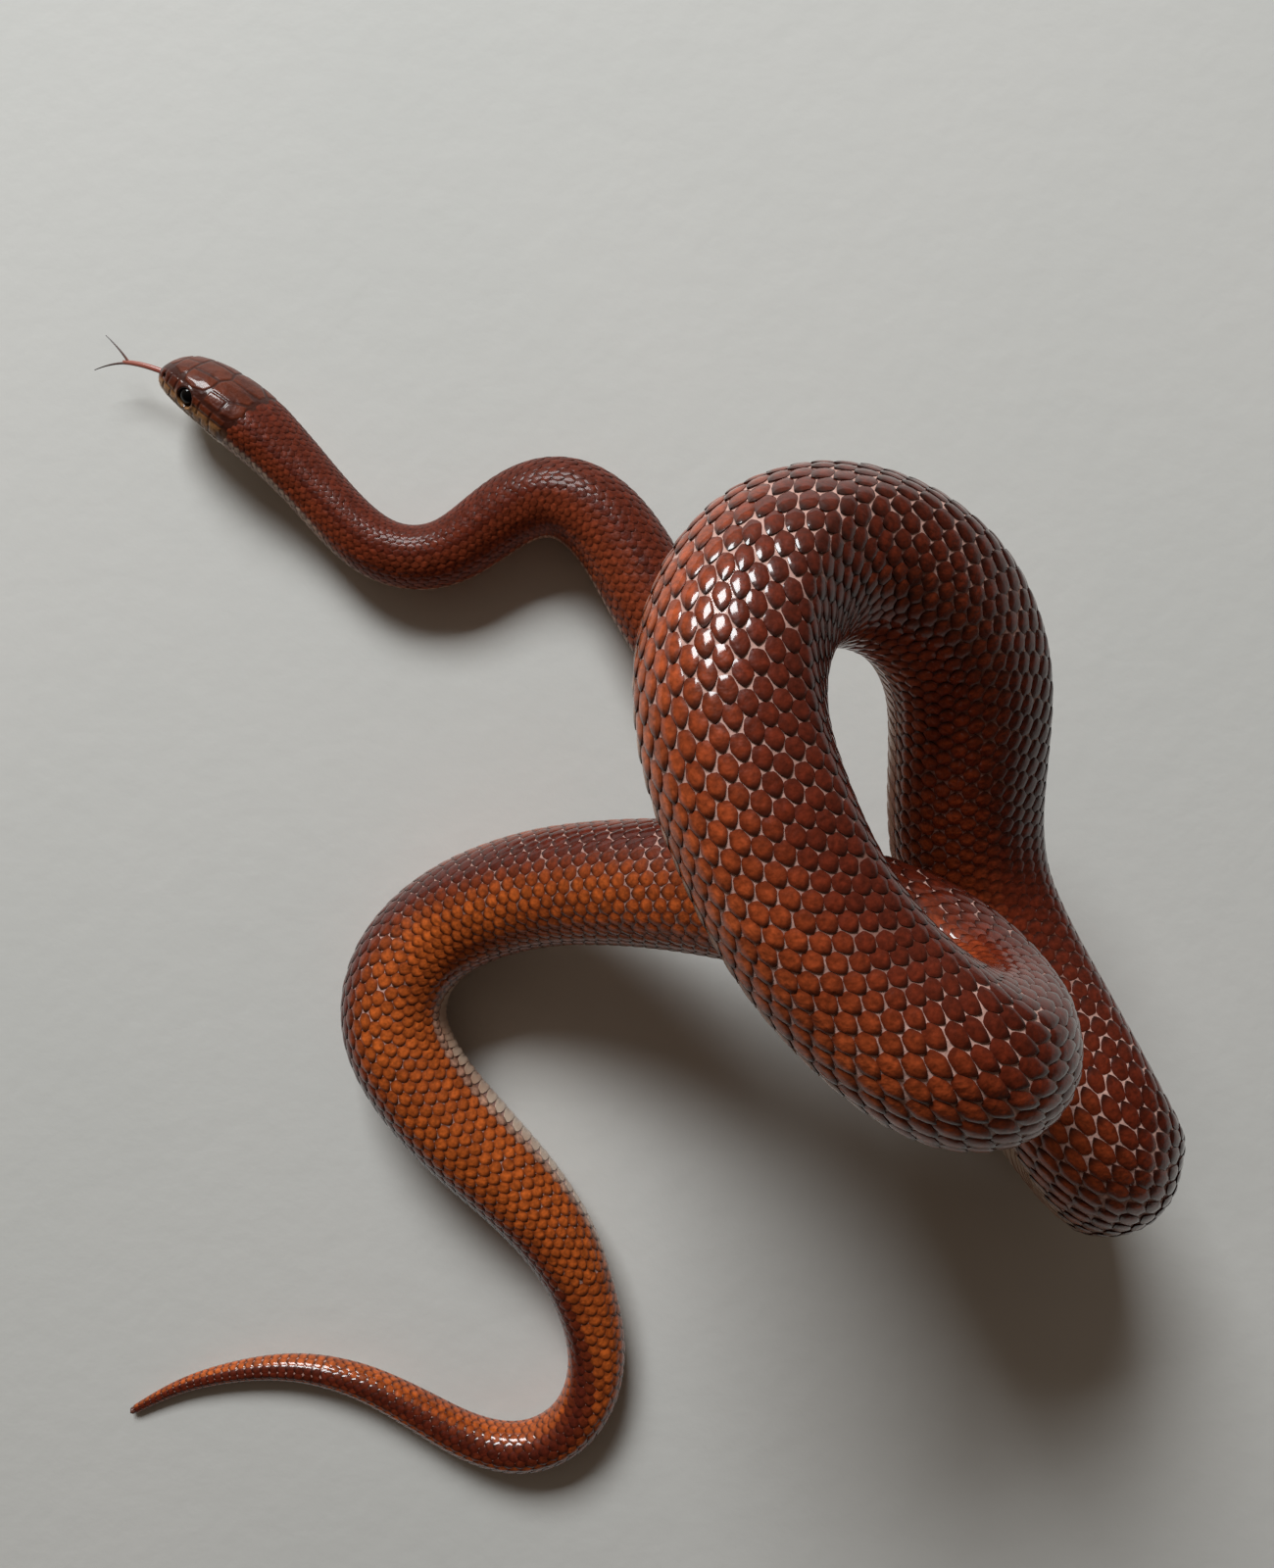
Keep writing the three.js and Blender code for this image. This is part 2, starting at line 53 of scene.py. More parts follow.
# Line of the body in millimetres, in the same places as the solids: x, y, half width and, where the
# body is held up, the height of its middle.
settle = 0.25  # the round of a stretch that lies on the floor sinks in by this much
route = {
    "headAndNeck": [
        (-98.2, 88.2, 4.5, 8.9), (-88.4, 81.4, 6.4, 9.3), (-78.0, 73.0, 6.8, 8.9),
        (-68.5, 63.0, 6.4, 7.6), (-61.5, 55.0, 6.6, 7.2), (-54.0, 49.0, 6.8, 7.0),
    ],
    "frontBends": [
        (-46.5, 47.5, 6.9), (-39.0, 49.0, 7.2), (-31.5, 54.5, 7.6), (-23.5, 59.5, 8.2),
        (-16.0, 60.5, 8.9), (-9.0, 57.0, 9.3), (-2.5, 49.0, 9.6), (3.0, 39.0, 9.9),
    ],
    "underTheCoils": [
        (17.0, 18.0, 10.4), (30.0, -4.0, 10.9), (43.0, -23.0, 11.4),
        (57.0, -37.0, 12.0), (70.0, -46.5, 12.5), (79.0, -59.0, 12.9),
    ],
    "farTurn": [(84.2, -67.4, 13.4, 17.8), (86.6, -71.2, 13.8, 29.8), (84.2, -67.4, 14.1, 41.5)],
    "farCoil": [
        (79.0, -58.5, 14.4, 46.0), (73.5, -46.5, 14.3, 43.0), (67.0, -32.0, 14.1, 38.5),
        (61.5, -18.5, 13.9, 38.0), (58.5, -6.0, 13.8, 42.5), (57.0, 7.0, 13.7, 50.0),
        (55.0, 18.0, 13.8, 57.0), (49.5, 27.0, 13.9, 64.0), (41.0, 33.0, 14.0, 71.0),
    ],
    "nearCoil": [
        (30.0, 35.0, 14.0, 77.0), (20.0, 31.0, 14.0, 83.0), (14.0, 21.0, 13.9, 88.0),
        (13.0, 8.0, 13.7, 91.0), (16.5, -4.0, 13.6, 92.0), (23.0, -18.0, 13.6, 92.0),
        (32.0, -29.5, 13.5, 92.0), (39.0, -35.0, 13.4, 92.0),
    ],
    "nearTurn": [
        (45.5, -38.5, 13.3, 90.0), (51.0, -39.5, 13.2, 84.5), (54.0, -38.8, 13.1, 76.0),
        (54.3, -36.2, 13.0, 68.0), (51.5, -32.0, 12.9, 62.5),
    ],
    "downToTheFloor": [
        (46.0, -28.0, 12.9, 60.0), (37.0, -24.0, 12.8, 57.0), (26.0, -21.0, 12.7, 50.5),
        (12.0, -19.0, 12.5, 40.5), (-5.0, -19.0, 12.2, 29.0), (-22.0, -21.5, 11.9, 19.0),
    ],
    "rearBends": [
        (-39.5, -29.0, 11.6), (-48.5, -38.5, 11.3), (-50.5, -50.0, 11.2), (-44.5, -62.5, 11.0),
        (-35.0, -73.5, 10.6), (-24.5, -84.5, 9.6), (-16.0, -96.0, 8.3),
    ],
    "tail": [
        (-11.0, -108.0, 6.9), (-8.5, -119.0, 6.2), (-9.5, -129.5, 5.9), (-15.0, -138.0, 5.5),
        (-24.5, -142.0, 5.1), (-35.5, -140.0, 4.6), (-47.0, -134.0, 4.1), (-60.0, -128.0, 3.5),
        (-74.0, -125.5, 2.9), (-87.5, -127.0, 2.2), (-99.5, -130.5, 1.6), (-109.5, -136.0, 1.0),
    ],
}
# Which way the back faces, by stretch and place in it.
backs = [
    ("headAndNeck", 0, (0.44, 0.62, 0.65)), ("headAndNeck", 3, (0.4, 0.5, 0.76)),
    ("frontBends", 0, (0, 0.62, 0.79)), ("frontBends", 4, (0.1, 0.77, 0.63)),
    ("frontBends", 7, (0.7, 0.4, 0.58)), ("underTheCoils", 2, (0.55, 0.35, 0.75)),
    ("farTurn", 1, (0.9, 0.4, 0.15)), ("farCoil", 0, (0.62, 0.35, 0.7)),
    ("farCoil", 2, (0.7, 0.3, 0.65)), ("farCoil", 5, (0.82, 0.05, 0.57)),
    ("farCoil", 7, (0.55, 0.5, 0.67)), ("nearCoil", 0, (0.0, 0.5, 0.86)),
    ("nearCoil", 1, (0.25, 0.1, 0.96)), ("nearCoil", 2, (0.55, 0.0, 0.83)),
    ("nearCoil", 3, (0.72, 0.02, 0.69)), ("nearCoil", 6, (0.7, 0.5, 0.5)),
    ("nearTurn", 0, (0.75, 0.35, 0.55)), ("nearTurn", 2, (0.68, 0.68, 0.2)),
    ("downToTheFloor", 0, (0.6, 0.75, 0.27)),
    ("downToTheFloor", 3, (0.1, 0.75, 0.65)), ("rearBends", 0, (-0.75, 0.5, 0.42)),
    ("rearBends", 2, (-0.93, 0.12, 0.34)), ("rearBends", 4, (-0.8, -0.5, 0.33)),
    ("tail", 0, (-0.75, -0.2, 0.63)), ("tail", 4, (0, 0.1, 1)), ("tail", 11, (0, 0, 1)),
]
stations = {"step": 1.5, "relaxPasses": 16, "perSpan": 12}


def normalised(vectors):
    return vectors / np.linalg.norm(vectors, axis=-1, keepdims=True)


def centripetal(places, perSpan):
    ends = np.vstack([2 * places[0] - places[1], places, 2 * places[-1] - places[-2]])
    points = []
    for k in range(len(places) - 1):
        p0, p1, p2, p3 = ends[k:k + 4]
        d0, d1, d2 = (math.sqrt(np.linalg.norm(b - a)) for a, b in ((p0, p1), (p1, p2), (p2, p3)))
        m1 = ((p1 - p0) / d0 - (p2 - p0) / (d0 + d1) + (p2 - p1) / d1) * d1
        m2 = ((p2 - p1) / d1 - (p3 - p1) / (d1 + d2) + (p3 - p2) / d2) * d1
        t = np.arange(perSpan)[:, None] / perSpan
        points.append(
            p1 + m1 * t + (3 * (p2 - p1) - 2 * m1 - m2) * t**2 + (2 * (p1 - p2) + m1 + m2) * t**3
        )
    return np.vstack(points + [places[-1:]])


def column(values):
    return np.asarray(values, float)[:, None]


def layStations():
    rows, startOf = [], {}
    for name, stretch in route.items():
        startOf[name] = len(rows)
        rows += [(x, y, high[0] if high else half - settle, half) for x, y, half, *high in stretch]
    rows = np.array(rows)
    points = centripetal(rows[:, :3], stations["perSpan"])
    place = np.arange(len(points)) / stations["perSpan"]
    reach = np.concatenate([[0], np.cumsum(np.linalg.norm(np.diff(points, axis=0), axis=1))])
    even = np.linspace(0, reach[-1], round(reach[-1] / stations["step"]) + 1)
    at = np.column_stack([np.interp(even, reach, points[:, k]) for k in range(3)])
    place = np.interp(even, reach, place)
    half = np.interp(place, np.arange(len(rows)), rows[:, 3])
    for _ in range(stations["relaxPasses"]):
        at[1:-1] = (at[:-2] + 2 * at[1:-1] + at[2:]) / 4
        half[1:-1] = (half[:-2] + 2 * half[1:-1] + half[2:]) / 4
    rollPlaces = [startOf[name] + step for name, step, _ in backs]
    rolls = normalised(np.array([back for _, _, back in backs], float))
    back = np.column_stack([np.interp(place, rollPlaces, rolls[:, k]) for k in range(3)])
    for _ in range(stations["relaxPasses"]):
        back[1:-1] = normalised(back[:-2] + back[1:-1] + back[2:])
    tailward = normalised(np.vstack([at[1:2] - at[:1], at[2:] - at[:-2], at[-1:] - at[-2:-1]]))
    back = normalised(back - tailward * column(np.sum(back * tailward, axis=1)))
    along = np.concatenate([[0], np.cumsum(np.linalg.norm(np.diff(at, axis=0), axis=1))])
    return {"along": along, "at": at, "half": half, "back": back, "tailward": tailward, "place": place}


body = layStations()
bodyLength = body["along"][-1]
bodyPlace = np.cumsum([0] + [len(stretch) for stretch in route.values()])
stretchStart = {
    name: float(np.interp(bodyPlace[k], body["place"], body["along"])) for k, name in enumerate(route)
}
print("body line", round(bodyLength, 1), "mm", {k: round(v) for k, v in stretchStart.items()})

# Section of head and neck: distance back from the snout, half width, height over and depth under
# the middle line, and how far that line drops. Further back the body is round.
headLength = 27.0
headProfile = np.array([
    (0.0, 0.0, 0.0, 0.0, 1.3), (0.06, 1.8, 0.9, 0.9, 1.3), (0.5, 3.6, 2.1, 1.9, 1.2),
    (1.8, 5.0, 3.4, 2.8, 1.0), (4.2, 6.1, 4.7, 3.7, 0.75), (7.5, 6.9, 5.5, 4.4, 0.5),
    (11.0, 7.5, 5.9, 4.9, 0.25), (16.0, 8.0, 6.0, 5.3, 0.1), (21.0, 8.2, 6.0, 5.7, 0.0),
    (24.5, 8.0, 6.0, 5.85, 0.0), (27.0, 7.8, 6.0, 5.9, 0.0),
])
section = {
    "samples": 1200,
    "reach": 60,  # millimetres of head and neck in the table
    "smoothOver": 31,
    "joinNeck": (24, 31),
    "neckRoundAt": 50.0,
    "napeFlatness": 0.133,
    "squareFade": (20, 42),  # the boxy head turns into the round body here
    "squareTop": 0.2,
    "squareUnder": 0.09,
}
belly = {"flatness": 0.07, "under": (0.5, 1), "from": (26, 34)}
mouth = {"level": -1.7, "fall": 0.02, "corner": 19.6, "crease": 0.17, "depth": 0.42}

# Low ridge along the back of the coils: height as a share of the half width, width in radians, and
# where along the body it rises and dies away.
crest = {"high": 0.07, "wide": 0.3, "from": (180, 300), "to": (520, 640)}
floorGap = 0.02  # no point of skin or scales lies lower


def sectionTable():
    s = np.linspace(0, 1, section["samples"]) ** 2 * section["reach"]
    q = np.sqrt(s)
    head = [np.interp(q, np.sqrt(headProfile[:, 0]), headProfile[:, k]) for k in (1, 2, 3, 4)]
    kernel = np.hanning(section["smoothOver"])
    kernel /= kernel.sum()
    pad = section["smoothOver"] // 2
    smooth = []
    for values, tipSign in zip(head, (-1, -1, -1, 1)):
        padded = np.concatenate([tipSign * values[pad:0:-1], values, np.full(pad, values[-1])])
        smooth.append(np.convolve(padded, kernel, "valid"))
    half = np.interp(s, body["along"], body["half"])
    flat = section["napeFlatness"] * (1 - smoothStep(s, headLength, section["neckRoundAt"]))
    neck = [half * (1 + flat), half * (1 - flat), half * (1 - flat), half * 0]
    mix = smoothStep(s, *section["joinNeck"])
    return s, [a * (1 - mix) + b * mix for a, b in zip(smooth, neck)]


sectionAt, (sectionWidth, sectionTop, sectionBottom, sectionDrop) = sectionTable()


def skinFrame(s):
    pick = {
        key: np.column_stack([np.interp(s, body["along"], body[key][:, k]) for k in range(3)])
        for key in ("at", "back", "tailward")
    }
    back = normalised(pick["back"])
    right = normalised(np.cross(back, normalised(pick["tailward"])))
    return pick["at"], back, right


# The snake's surface: s millimetres back from the snout, angle 0 along the back and a quarter turn
# at the right side, with the way out of the skin and the lift along it in millimetres.
def surface(s, angle, lift=0.0):
    s = np.asarray(s, float).ravel()
    angle = np.asarray(angle, float).ravel()
    at, back, right = skinFrame(np.clip(s, 0, bodyLength))
    half = np.interp(s, body["along"], body["half"])
    inHead = s < sectionAt[-1]
    wide, top, bottom = (
        np.where(inHead, np.interp(s, sectionAt, values), half)
        for values in (sectionWidth, sectionTop, sectionBottom)
    )
    up, side = np.cos(angle), np.sin(angle)
    square = 1 - smoothStep(s, *section["squareFade"])
    power = 1 - square * np.where(up > 0, section["squareTop"], section["squareUnder"])
    high = np.where(up > 0, top, bottom) * np.sign(up) * np.abs(up) ** power
    across = wide * np.sign(side) * np.abs(side) ** power
    shallow = 1 - belly["flatness"] * smoothStep(-up, *belly["under"]) * smoothStep(s, *belly["from"])
    high, across = high * shallow, across * shallow
    turned = (angle + math.pi) % (2 * math.pi) - math.pi
    ridge = crest["high"] * smoothStep(s, *crest["from"]) * (1 - smoothStep(s, *crest["to"]))
    high = high + half * ridge * np.exp(-((turned / crest["wide"]) ** 2))
    leastRadius, leastNormal = 1e-6, 1e-9
    out = back * column(high / np.maximum(top, leastRadius) ** 2)
    out = out + right * column(across / np.maximum(wide, leastRadius) ** 2)
    out = normalised(out + leastNormal)
    high = high - np.where(inHead, np.interp(s, sectionAt, sectionDrop), 0)
    return at + back * column(high) + right * column(across), out, np.broadcast_to(lift, s.shape)


def skinPoints(s, angle, lift=0.0):
    points, out, lift = surface(s, angle, lift)
    points = points + out * column(lift)
    points[:, 2] = np.maximum(points[:, 2], floorGap)
    return points


# Where the eye of the solids sits tells how far the frame is shifted from the route.
eye = {
    "radius": 1.95,
    "back": 10.0,
    "out": 5.65,
    "up": 1.2,
    "lookUp": 0.12,
    "rows": 28,
    "sides": 40,
    "irisReach": 1.05,
}


def headPoint(back, right, up):
    at, upward, _ = skinFrame(np.array([0.0, headLength]))
    backward = normalised(at[1:] - at[:1])[0]
    crown = normalised(upward[:1] - backward * (upward[0] @ backward))[0]
    side = np.cross(crown, backward)
    return at[1] - backward * headLength + backward * back + side * right + crown * up


eyeBox = [np.array(corner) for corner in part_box("eye_left")]
shift = (eyeBox[0] + eyeBox[1]) / 2 - headPoint(eye["back"], -eye["out"], eye["up"]) * mm
shift[2] = 0
print("frame shift", np.round(shift * 1000, 2))


def toFrame(points):
    return np.asarray(points) * mm + shift


def makeMesh(name, points, corners, totals):
    mesh = bpy.data.meshes.new(name)
    mesh.vertices.add(len(points))
    mesh.vertices.foreach_set("co", toFrame(points).astype(np.float32).ravel())
    mesh.loops.add(len(corners))
    mesh.loops.foreach_set("vertex_index", np.asarray(corners, np.int32))
    mesh.polygons.add(len(totals))
    starts = np.concatenate([[0], np.cumsum(totals)[:-1]])
    mesh.polygons.foreach_set("loop_start", starts.astype(np.int32))
    mesh.update(calc_edges=True)
    mesh.validate()
    mesh.polygons.foreach_set("use_smooth", np.ones(len(mesh.polygons), bool))
    piece = bpy.data.objects.new(name, mesh)
    bpy.context.scene.collection.objects.link(piece)
    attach(piece, "root")
    return piece


def addColours(piece, name, values):
    layer = piece.data.attributes.new(name, "FLOAT_COLOR", "POINT")
    layer.data.foreach_set("color", np.asarray(values, np.float32).ravel())


def addBakeMap(piece, cornerUv):
    layer = piece.data.uv_layers.new(name="OFBake")
    layer.data.foreach_set("uv", np.asarray(cornerUv, np.float32).ravel())


# Unwrap of the skin: the body opened along the belly and laid out in strips side by side.
unwrap = {"strips": 4, "margin": 0.006}


def unwrapPoint(s, turn, strip):
    span = bodyLength / unwrap["strips"]
    m = unwrap["margin"]
    u = m + (1 - 2 * m) * (s - strip * span) / span
    v = (strip + m * 2 + (1 - m * 4) * turn) / unwrap["strips"]
    return np.stack([u, v], axis=-1)


# Markings: how far down the flank a point lies, with a paler throat, and how stretched the skin is.
throat = {"shift": 0.2, "until": (40, 70), "side": (0.4, 0.54)}
probe = 0.6  # the stretch is measured over this far each way


def markings(s, angle):
    down = np.abs((angle + math.pi) % (2 * math.pi) - math.pi) / math.pi
    pale = throat["shift"] * (1 - smoothStep(s, *throat["until"]))
    down = down + pale * smoothStep(down, *throat["side"])
    a = skinPoints(s - probe, angle)
    b = skinPoints(s + probe, angle)
    stretch = np.linalg.norm(b - a, axis=1) / (2 * probe)
    return down, stretch


# Skin: one closed tube from the snout to the tail tip, under the scales.
skin = {
    "sides": 72,
    "headSides": 216,
    "step": 1.1,
    "headTo": 26.0,
    "headRings": 171,
    "crowding": 1.35,  # the rings of the head stand closer toward the snout
    "depth": 0.3,
    "sinkFrom": (18, 24),
}


def placeAlong():
    head = np.linspace(0, 1, skin["headRings"]) ** skin["crowding"] * skin["headTo"]
    span = bodyLength / unwrap["strips"]
    rest = []
    for k in range(unwrap["strips"]):
        start = max(skin["headTo"] + skin["step"], k * span)
        count = round(((k + 1) * span - start) / skin["step"])
        rest += list(np.linspace(start, (k + 1) * span, count + 1)[(1 if k else 0):])
    return head, np.array(rest)


headRings, bodyRings = placeAlong()
print("skin rings", len(headRings), len(bodyRings))

# Shields of the head in plan (back, right) for the right half, the frontal between the eyes, those
# of the cheek from the side (back, up) and those under the chin in plan.
seam = 0.07
pairedShields = [
    [(1.0, seam), (3.3, seam), (3.5, 2.3), (2.7, 3.2), (1.3, 2.4)],
    [(3.5, seam), (7.1, seam), (7.2, 2.5), (7.1, 4.6), (6.2, 5.0), (3.7, 3.7)],
    [(7.4, 2.7), (7.35, 4.9), (8.1, 5.9), (10.4, 6.5), (12.8, 6.1), (13.5, 4.8), (13.4, 2.5)],
    [(14.5, seam), (18.5, seam), (21.2, 0.8), (21.3, 2.6), (18.2, 5.1), (13.8, 5.2), (13.6, 2.4)],
    [(13.9, 5.4), (17.9, 5.3), (17.9, 7.4), (13.9, 7.2)],
    [(18.2, 5.3), (21.4, 3.2), (22.4, 5.6), (21.0, 7.2), (18.2, 7.5)],
]
frontalShield = [(7.4, -2.5), (13.3, -2.2), (14.4, 0), (13.3, 2.2), (7.4, 2.5)]
cheekShields = [
    [(1.6, 0.15), (2.9, 0.15), (2.9, 2.3), (1.7, 1.7)],
    [(3.05, 0.15), (4.5, 0.2), (4.7, 2.9), (3.05, 2.4)],
    [(4.7, 0.5), (6.8, 0.5), (6.8, 3.2), (4.9, 2.9)],
    [(6.95, 0.5), (7.9, 0.2), (8.2, 3.4), (6.95, 3.3)],
    [(12.1, -0.6), (13.6, -0.5), (13.6, 1.2), (12.1, 1.2)],
    [(12.0, 1.35), (13.6, 1.35), (13.6, 3.1), (11.6, 3.1)],
    [(13.75, -0.4), (16.9, -0.3), (16.7, 1.3), (13.75, 1.2)],
    [(13.75, 1.35), (16.7, 1.45), (16.9, 3.0), (13.75, 2.9)],
    [(17.05, -0.3), (19.9, -0.2), (20.1, 1.3), (16.85, 1.3)],
    [(16.85, 1.45), (20.1, 1.45), (20.3, 3.0), (17.0, 3.0)],
]
chinShields = [
    [(1.4, 0.07), (4.0, 0.07), (3.4, 1.6), (1.8, 1.2)],
    [(4.15, 0.07), (8.8, 0.07), (8.2, 2.1), (3.6, 1.8)],
    [(9.0, 0.07), (13.2, 0.3), (12.0, 2.0), (8.4, 2.1)],
]
# Labials: how many, the first and last place back, and the low and high edge from the mouth.
labials = {"upper": (8, 1.5, 19.4, 0.16, 2.15), "lower": (9, 1.4, 19.8, -1.6, -0.16)}
relief = {
    "rise": 0.13,
    "bevel": 0.3,
    "fade": (21, 23),
    "onTop": (0.12, 0.3),
    "onCheek": (3.0, 3.6),
    "overMouth": (0.1, 0.3),
    "onChin": (0.5, 0.7),
    "onLips": (2.2, 2.6),
    "rostral": (2.1, 1.3, 0.25, 2.6),  # half width, reach back, low and high edge from the mouth
    "underMouth": (-0.05, 0.25),
}
nostril = {"back": 2.95, "up": 1.0, "size": 0.42, "depth": 0.7, "out": 3}
socket = {"inner": 0.86, "depth": 1.1, "rimAt": 1.12, "rimWide": 0.34, "rimHigh": 0.22, "out": 3.5}


def mouthAt(back):
    return mouth["level"] - mouth["fall"] * back


def insideDistance(x, y, outline):
    outline = np.array(outline, float)
    area = np.sum(outline[:, 0] * np.roll(outline[:, 1], -1) - np.roll(outline[:, 0], -1) * outline[:, 1])
    if area < 0:
        outline = outline[::-1]
    nearest = np.full(x.shape, np.inf)
    for (x0, y0), (x1, y1) in zip(outline, np.roll(outline, -1, axis=0)):
        length = math.hypot(x1 - x0, y1 - y0)
        nearest = np.minimum(nearest, ((x1 - x0) * (y - y0) - (y1 - y0) * (x - x0)) / length)
    return nearest


def raised(distance):
    return smoothStep(distance, 0, relief["bevel"])


def shieldPlates(angle, back, right, up):
    out, level = np.abs(right), up - mouthAt(back)
    onTop = smoothStep(np.cos(angle), *relief["onTop"])
    onCheek = smoothStep(out, *relief["onCheek"]) * smoothStep(level, *relief["overMouth"])
    onChin = smoothStep(-np.cos(angle), *relief["onChin"])
    onLips = smoothStep(out, *relief["onLips"])
    mirrored = [[(b, -r) for b, r in outline] for outline in pairedShields]
    plate = np.zeros(len(angle))
    for outlines, across, where in (
        ([frontalShield] + pairedShields + mirrored, right, onTop),
        (cheekShields, up, onCheek),
        (chinShields, out, onChin),
    ):
        for outline in outlines:
            plate = np.maximum(plate, raised(insideDistance(back, across, outline)) * where)
    for count, first, last, low, high in labials.values():
        pitch = (last - first) / count
        for k in range(count):
            start, end = first + pitch * k + seam, first + pitch * (k + 1) - seam
            inside = np.minimum(np.minimum(back - start, end - back), np.minimum(level - low, high - level))
            plate = np.maximum(plate, raised(inside) * onLips)
    half, reach, low, high = relief["rostral"]
    inside = np.minimum(np.minimum(half - out, reach - back), np.minimum(level - low, high - level))
    return np.maximum(plate, raised(inside))


def headRelief(angle, points):
    origin = headPoint(0, 0, 0)
    axes = np.array([headPoint(1, 0, 0), headPoint(0, 1, 0), headPoint(0, 0, 1)]) - origin
    back, right, up = ((points - origin) @ axes.T).T
    plate = shieldPlates(angle, back, right, up)
    out, level = np.abs(right), up - mouthAt(back)
    crease = np.exp(-((level / mouth["crease"]) ** 2))
    crease = crease * (1 - smoothStep(back, mouth["corner"] - 1, mouth["corner"]))
    nostrilGap = np.sqrt((back - nostril["back"]) ** 2 + (up - nostril["up"]) ** 2)
    hole = np.exp(-((nostrilGap / nostril["size"]) ** 2)) * (out > nostril["out"])
    eyeGap = np.sqrt((back - eye["back"]) ** 2 + (up - eye["up"]) ** 2)
    onSide = out > socket["out"]
    hollow = (1 - smoothStep(eyeGap, eye["radius"] * socket["inner"], eye["radius"])) * onSide
    rim = np.exp(-(((eyeGap - eye["radius"] * socket["rimAt"]) / socket["rimWide"]) ** 2)) * onSide
    lift = (
        relief["rise"] * plate - mouth["depth"] * crease - nostril["depth"] * hole
        - socket["depth"] * hollow + socket["rimHigh"] * rim
    )
    under = smoothStep(-level, *relief["underMouth"])
    # The last map is painted shade: the mouth crease, the nostrils and the eye sockets, darkened in the
    # skin's colour.
    return lift, plate, under, np.clip(crease + hole + hollow, 0, 1)


def skinPatch(rings, sides):
    s = np.repeat(rings, sides)
    angle = np.tile(np.linspace(-math.pi, math.pi, sides, endpoint=False), len(rings))
    depth = skin["depth"] * smoothStep(s, *skin["sinkFrom"])
    points = skinPoints(s, angle, -depth)
    maps = np.zeros((4, len(s)))
    head = s < skin["headTo"]
    if head.any():
        maps[:, head] = headRelief(angle[head], points[head])
    lift, plate, under, dark = maps
    lift = lift * (1 - smoothStep(s, *relief["fade"]))
    points = skinPoints(s, angle, lift - depth)
    down, stretch = markings(s, angle)
    headMap = np.column_stack([down, plate, under, dark])
    ones = np.ones(len(s))
    bodyMap = np.column_stack([np.clip(stretch / 2, 0, 1), s / bodyLength, 0 * ones, ones])
    return points, headMap, bodyMap


def ringQuads(count, sides, first):
    i, j = np.meshgrid(np.arange(count - 1), np.arange(sides), indexing="ij")
    a, b = first + i * sides + j, first + i * sides + (j + 1) % sides
    return i, j, np.stack([a, a + sides, b + sides, b], axis=-1).reshape(-1, 4)


def stripOf(s):
    return np.clip((s + 1e-6) // (bodyLength / unwrap["strips"]), 0, unwrap["strips"] - 1)


def quadUv(rings, i, j, sides):
    strip = stripOf(rings[:-1])[i]
    steps = ((0, 0), (1, 0), (1, 1), (0, 1))
    corners = [unwrapPoint(rings[i + di], (j + dj) / sides, strip) for di, dj in steps]
    return np.stack(corners, axis=2).reshape(-1, 2)


# Faces between the last ring of the head and the first of the body. The head is laid on finer
# rings, so each side of the body takes three sides of the head.
def joinFaces(lastHead, firstBody):
    fine, coarse = skin["headSides"], skin["sides"]
    split = fine // coarse
    k = np.arange(coarse)
    steps = [lastHead + (k * split + step) % fine for step in range(split + 1)]
    bodySide = [firstBody + k, firstBody + (k + 1) % coarse]
    faces = np.stack(steps[:1] + bodySide + steps[:0:-1], axis=-1)
    headAt, bodyAt = np.full(coarse, headRings[-1]), np.full(coarse, bodyRings[0])
    uv = [unwrapPoint(headAt, k / coarse, 0)]
    uv += [unwrapPoint(bodyAt, (k + step) / coarse, 0) for step in (0, 1)]
    uv += [unwrapPoint(headAt, (k + step / split) / coarse, 0) for step in range(split, 0, -1)]
    return faces, np.stack(uv, axis=1).reshape(-1, 2)


def buildSkin():
    fine, coarse = skin["headSides"], skin["sides"]
    headPoints, headMap, headMore = skinPatch(headRings, fine)
    bodyPoints, bodyMap, bodyMore = skinPatch(bodyRings, coarse)
    snoutTip = skinPoints([0.0], [0.0])
    tailTip = surface([bodyLength], [0])[0][:1]
    points = np.vstack([headPoints, bodyPoints, snoutTip, tailTip])
    nose, end = len(points) - 2, len(points) - 1
    firstBody = len(headPoints)
    lastHead, lastBody = firstBody - fine, nose - coarse
    hi, hj, headQuads = ringQuads(len(headRings), fine, 0)
    bi, bj, bodyQuads = ringQuads(len(bodyRings), coarse, firstBody)
    joins, joinUv = joinFaces(lastHead, firstBody)
    f, k = np.arange(fine), np.arange(coarse)
    noseFan = np.stack([np.full(fine, nose), f, (f + 1) % fine], axis=-1)
    endFan = np.stack([np.full(coarse, end), lastBody + (k + 1) % coarse, lastBody + k], axis=-1)
    faces = (headQuads, bodyQuads, joins, noseFan, endFan)
    corners = np.concatenate([part.ravel() for part in faces])
    totals = np.concatenate([np.full(len(part), part.shape[1]) for part in faces])
    piece = makeMesh("snake_skin", points, corners, totals)
    # The last two rows are the tips of the snout and the tail.
    addColours(piece, "headMap", np.vstack([headMap, bodyMap, [0.5, 0, 0.5, 0], [0.5, 0, 0, 0]]))
    addColours(piece, "bodyMap", np.vstack([headMore, bodyMore, [0.5, 0, 0, 1], [0.5, 1, 0, 1]]))
    noseTurn = np.stack([(f + 0.5) / fine, f / fine, (f + 1) / fine], axis=-1)
    noseUv = unwrapPoint(np.zeros_like(noseTurn), noseTurn, 0).reshape(-1, 2)
    endTurn = np.stack([(k + 0.5) / coarse, (k + 1) / coarse, k / coarse], axis=-1)
    endUv = unwrapPoint(np.full_like(endTurn, bodyLength), endTurn, unwrap["strips"] - 1).reshape(-1, 2)
    headUv, bodyUv = quadUv(headRings, hi, hj, fine), quadUv(bodyRings, bi, bj, coarse)
    addBakeMap(piece, np.vstack([headUv, bodyUv, joinUv, noseUv, endUv]))
    return piece


